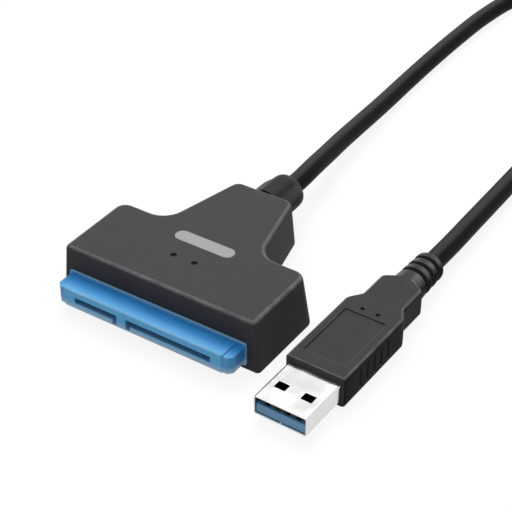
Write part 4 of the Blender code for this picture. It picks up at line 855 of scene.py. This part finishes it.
# strain relief of the housing, drawn out ring by ring
collarSetup = {
    "sides": 96,
    "level": 7.5 * mm,
    "lift": 0.4 * mm,
    "flange": (14.3 * mm, 15.7 * mm, 8.4 * mm, 6.6 * mm),
    "waist": 6.2 * mm,
    "start": 17.5 * mm,
    "length": 10.2 * mm,
    "sleeve": 0.5 * mm,
    "width": 10.3 * mm,
    "height": 9.1 * mm,
    "tip": 5.2 * mm,
    "lobe": 0.19,
    "lobeRound": 1.6,
    # place along the length, share of the full size, share of the lobes' depth
    "profile": (
        (0.00, 0.97, 0.6), (0.015, 0.99, 0.8), (0.04, 1.00, 0.95), (0.10, 1.00, 1.0), (0.35, 1.00, 1.0),
        (0.53, 0.99, 1.0), (0.63, 0.97, 1.0), (0.70, 0.93, 1.0), (0.76, 0.87, 0.95), (0.82, 0.77, 0.85),
        (0.87, 0.65, 0.7), (0.91, 0.52, 0.55), (0.945, 0.38, 0.4), (0.97, 0.25, 0.25), (0.99, 0.12, 0.1),
        (1.00, 0.00, 0.0),
    ),
}


def collarRows(setup):
    # place along the neck, width, height, depth of the lobes and rise of the middle for each ring
    inner, outer, wide, tall = setup["flange"]
    waist = setup["waist"]
    rows = [(inner, wide, tall, 0.0, 0.0), (outer, wide, tall, 0.0, 0.0)]
    rows += [(outer, waist, waist, 0.0, 0.0), (setup["start"], waist, waist, 0.0, 0.0)]
    for along, swell, lobe in setup["profile"]:
        width = setup["tip"] + (setup["width"] - setup["tip"]) * swell
        height = setup["tip"] + (setup["height"] - setup["tip"]) * swell
        y = setup["start"] + setup["length"] * along
        rows.append((y, width, height, setup["lobe"] * lobe, setup["lift"] * swell))
    # a short sleeve closes on the cable
    end = setup["start"] + setup["length"] + setup["sleeve"]
    rows.append((end, setup["tip"], setup["tip"], 0.0, 0.0))
    return rows


def collarSpot(row, turn):
    # an oval drawn in between its four lobes
    y, width, height, lobe, lift = row
    reach = 1 - lobe * ((1 - cos(4 * turn)) / 2) ** collarSetup["lobeRound"]
    level = collarSetup["level"] + lift
    return (width / 2 * reach * cos(turn), y, level + height / 2 * reach * sin(turn))


collarShape = drawnTube(collarSetup["sides"], collarRows(collarSetup), collarSpot)
collar = newPiece("strainRelief", collarShape, pvcCollar, 42)
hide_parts("housing_strain_relief")
print("strain relief made")

# finishes of the solids that stay as they are
signalContacts = [f"signal_contact_{number}" for number in range(1, 8)]
powerContacts = [f"power_contact_{number}" for number in range(1, 16)]
plugContacts = [f"usb2_contact_{number}" for number in range(1, 5)]
plugContacts += [f"usb3_contact_{number}" for number in range(1, 6)]
for material, names in (
    (goldPlate, signalContacts + powerContacts),
    (goldTips, plugContacts),
    (nickelPlate, ["crystal"]),
    (greenBoard, ["circuit_board"]),
    (chipEpoxy, ["bridge_chip", "flash_chip", "voltage_regulator"]),
    (tantalumEpoxy, ["input_capacitor", "output_capacitor"]),
    (ferriteBody, ["power_inductor"]),
    (ledResin, ["power_led", "activity_led"]),
    (peNatural, ["plug_inner_mould"]),
    (pairFoil, ["transmit_pair", "receive_pair"]),
    (wireMaterials["red"], ["power_wire"]),
    (wireMaterials["black"], ["ground_wire"]),
    (wireMaterials["white"], ["data_minus_wire"]),
    (wireMaterials["green"], ["data_plus_wire"]),
):
    finishNodes(material, names)
print("solids finished")

# the pieces that make up the plug, gathered in one list
onPlug = [grip, shell, tongue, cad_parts["plug_inner_mould"]]
onPlug += [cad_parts[name] for name in plugContacts]

# floor, backdrop and light
stageSetup = {
    "floorSize": 4.0,
    "floorLevel": -0.02 * mm,
    "floorColour": "c4c4c4",
    "floorSeen": "ffffff",
    "seenShare": 0.88,
    "roughness": 0.9,
    "skyColour": "ffffff",
    "skyLight": 0.34,
    "skySeen": 1.0,
}


def seenDirectly(tree):
    # 1 for what the camera, a glossy surface or a clear one shows, 0 for light on the object
    path = addNode(tree, "ShaderNodeLightPath")
    either = addNode(
        tree, "ShaderNodeMath", {"operation": "MAXIMUM"},
        {0: path.outputs["Is Camera Ray"], 1: path.outputs["Is Glossy Ray"]},
    )
    return addNode(
        tree, "ShaderNodeMath", {"operation": "MAXIMUM"},
        {0: either.outputs[0], 1: path.outputs["Is Transmission Ray"]},
    ).outputs[0]


def buildStage(setup):
    shape = bmesh.new()
    bmesh.ops.create_grid(shape, x_segments=1, y_segments=1, size=setup["floorSize"] / 2)
    bmesh.ops.translate(shape, verts=shape.verts, vec=(0, 0, setup["floorLevel"]))
    mesh = bpy.data.meshes.new("floor")
    shape.to_mesh(mesh)
    shape.free()
    floor = bpy.data.objects.new("floor", mesh)
    scene.collection.objects.link(floor)
    # matt paper that reads white where it is looked at, and keeps a faint shadow
    material, tree, shader = newMaterial("white paper, matt sweep")
    seen = seenDirectly(tree)
    paper = addNode(
        tree, "ShaderNodeMix", {"data_type": "RGBA"},
        {0: seen, 6: linear(setup["floorColour"]), 7: linear(setup["floorSeen"])},
    )
    tree.links.new(paper.outputs[2], shader.inputs["Base Color"])
    shader.inputs["Roughness"].default_value = setup["roughness"]
    shader.inputs["Specular IOR Level"].default_value = 0.0
    share = addNode(tree, "ShaderNodeMath", {"operation": "MULTIPLY"}, {0: seen, 1: setup["seenShare"]})
    white = addNode(tree, "ShaderNodeEmission", inputs={"Color": (1, 1, 1, 1), "Strength": 1.0})
    both = addNode(
        tree, "ShaderNodeMixShader", inputs={0: share.outputs[0], 1: shader.outputs[0], 2: white.outputs[0]}
    )
    output = tree.nodes["Material Output"]
    tree.links.new(both.outputs[0], output.inputs["Surface"])
    floor.data.materials.append(material)

    world = scene.world or bpy.data.worlds.new("studio")
    scene.world = world
    world.use_nodes = True
    background = world.node_tree.nodes["Background"]
    background.inputs["Color"].default_value = linear(setup["skyColour"])
    strength = addNode(
        world.node_tree, "ShaderNodeMapRange",
        inputs={0: seenDirectly(world.node_tree), 3: setup["skyLight"], 4: setup["skySeen"]},
    )
    world.node_tree.links.new(strength.outputs[0], background.inputs["Strength"])


buildStage(stageSetup)

lightSetup = {
    "overhead": {"place": (-0.15, 0.1, 0.8), "aim": (0, 0.03, 0), "size": (0.6, 0.6), "power": 2.8},
    "rearLeft": {"place": (-0.22, 0.36, 0.70), "aim": (0, 0.03, 0), "size": (0.7, 0.3), "power": 3.8},
}


def addSoftbox(name, setup):
    data = bpy.data.lights.new(name, "AREA")
    data.shape = "RECTANGLE"
    data.size, data.size_y = setup["size"]
    data.energy = setup["power"]
    lamp = bpy.data.objects.new(name, data)
    scene.collection.objects.link(lamp)
    lamp.location = setup["place"]
    aim = Vector(setup["aim"]) - Vector(setup["place"])
    lamp.rotation_euler = aim.to_track_quat("-Z", "Y").to_euler()


for lampName, lampSetup in lightSetup.items():
    addSoftbox(lampName, lampSetup)
scene.view_settings.view_transform = "Standard"
print("stage and light placed")
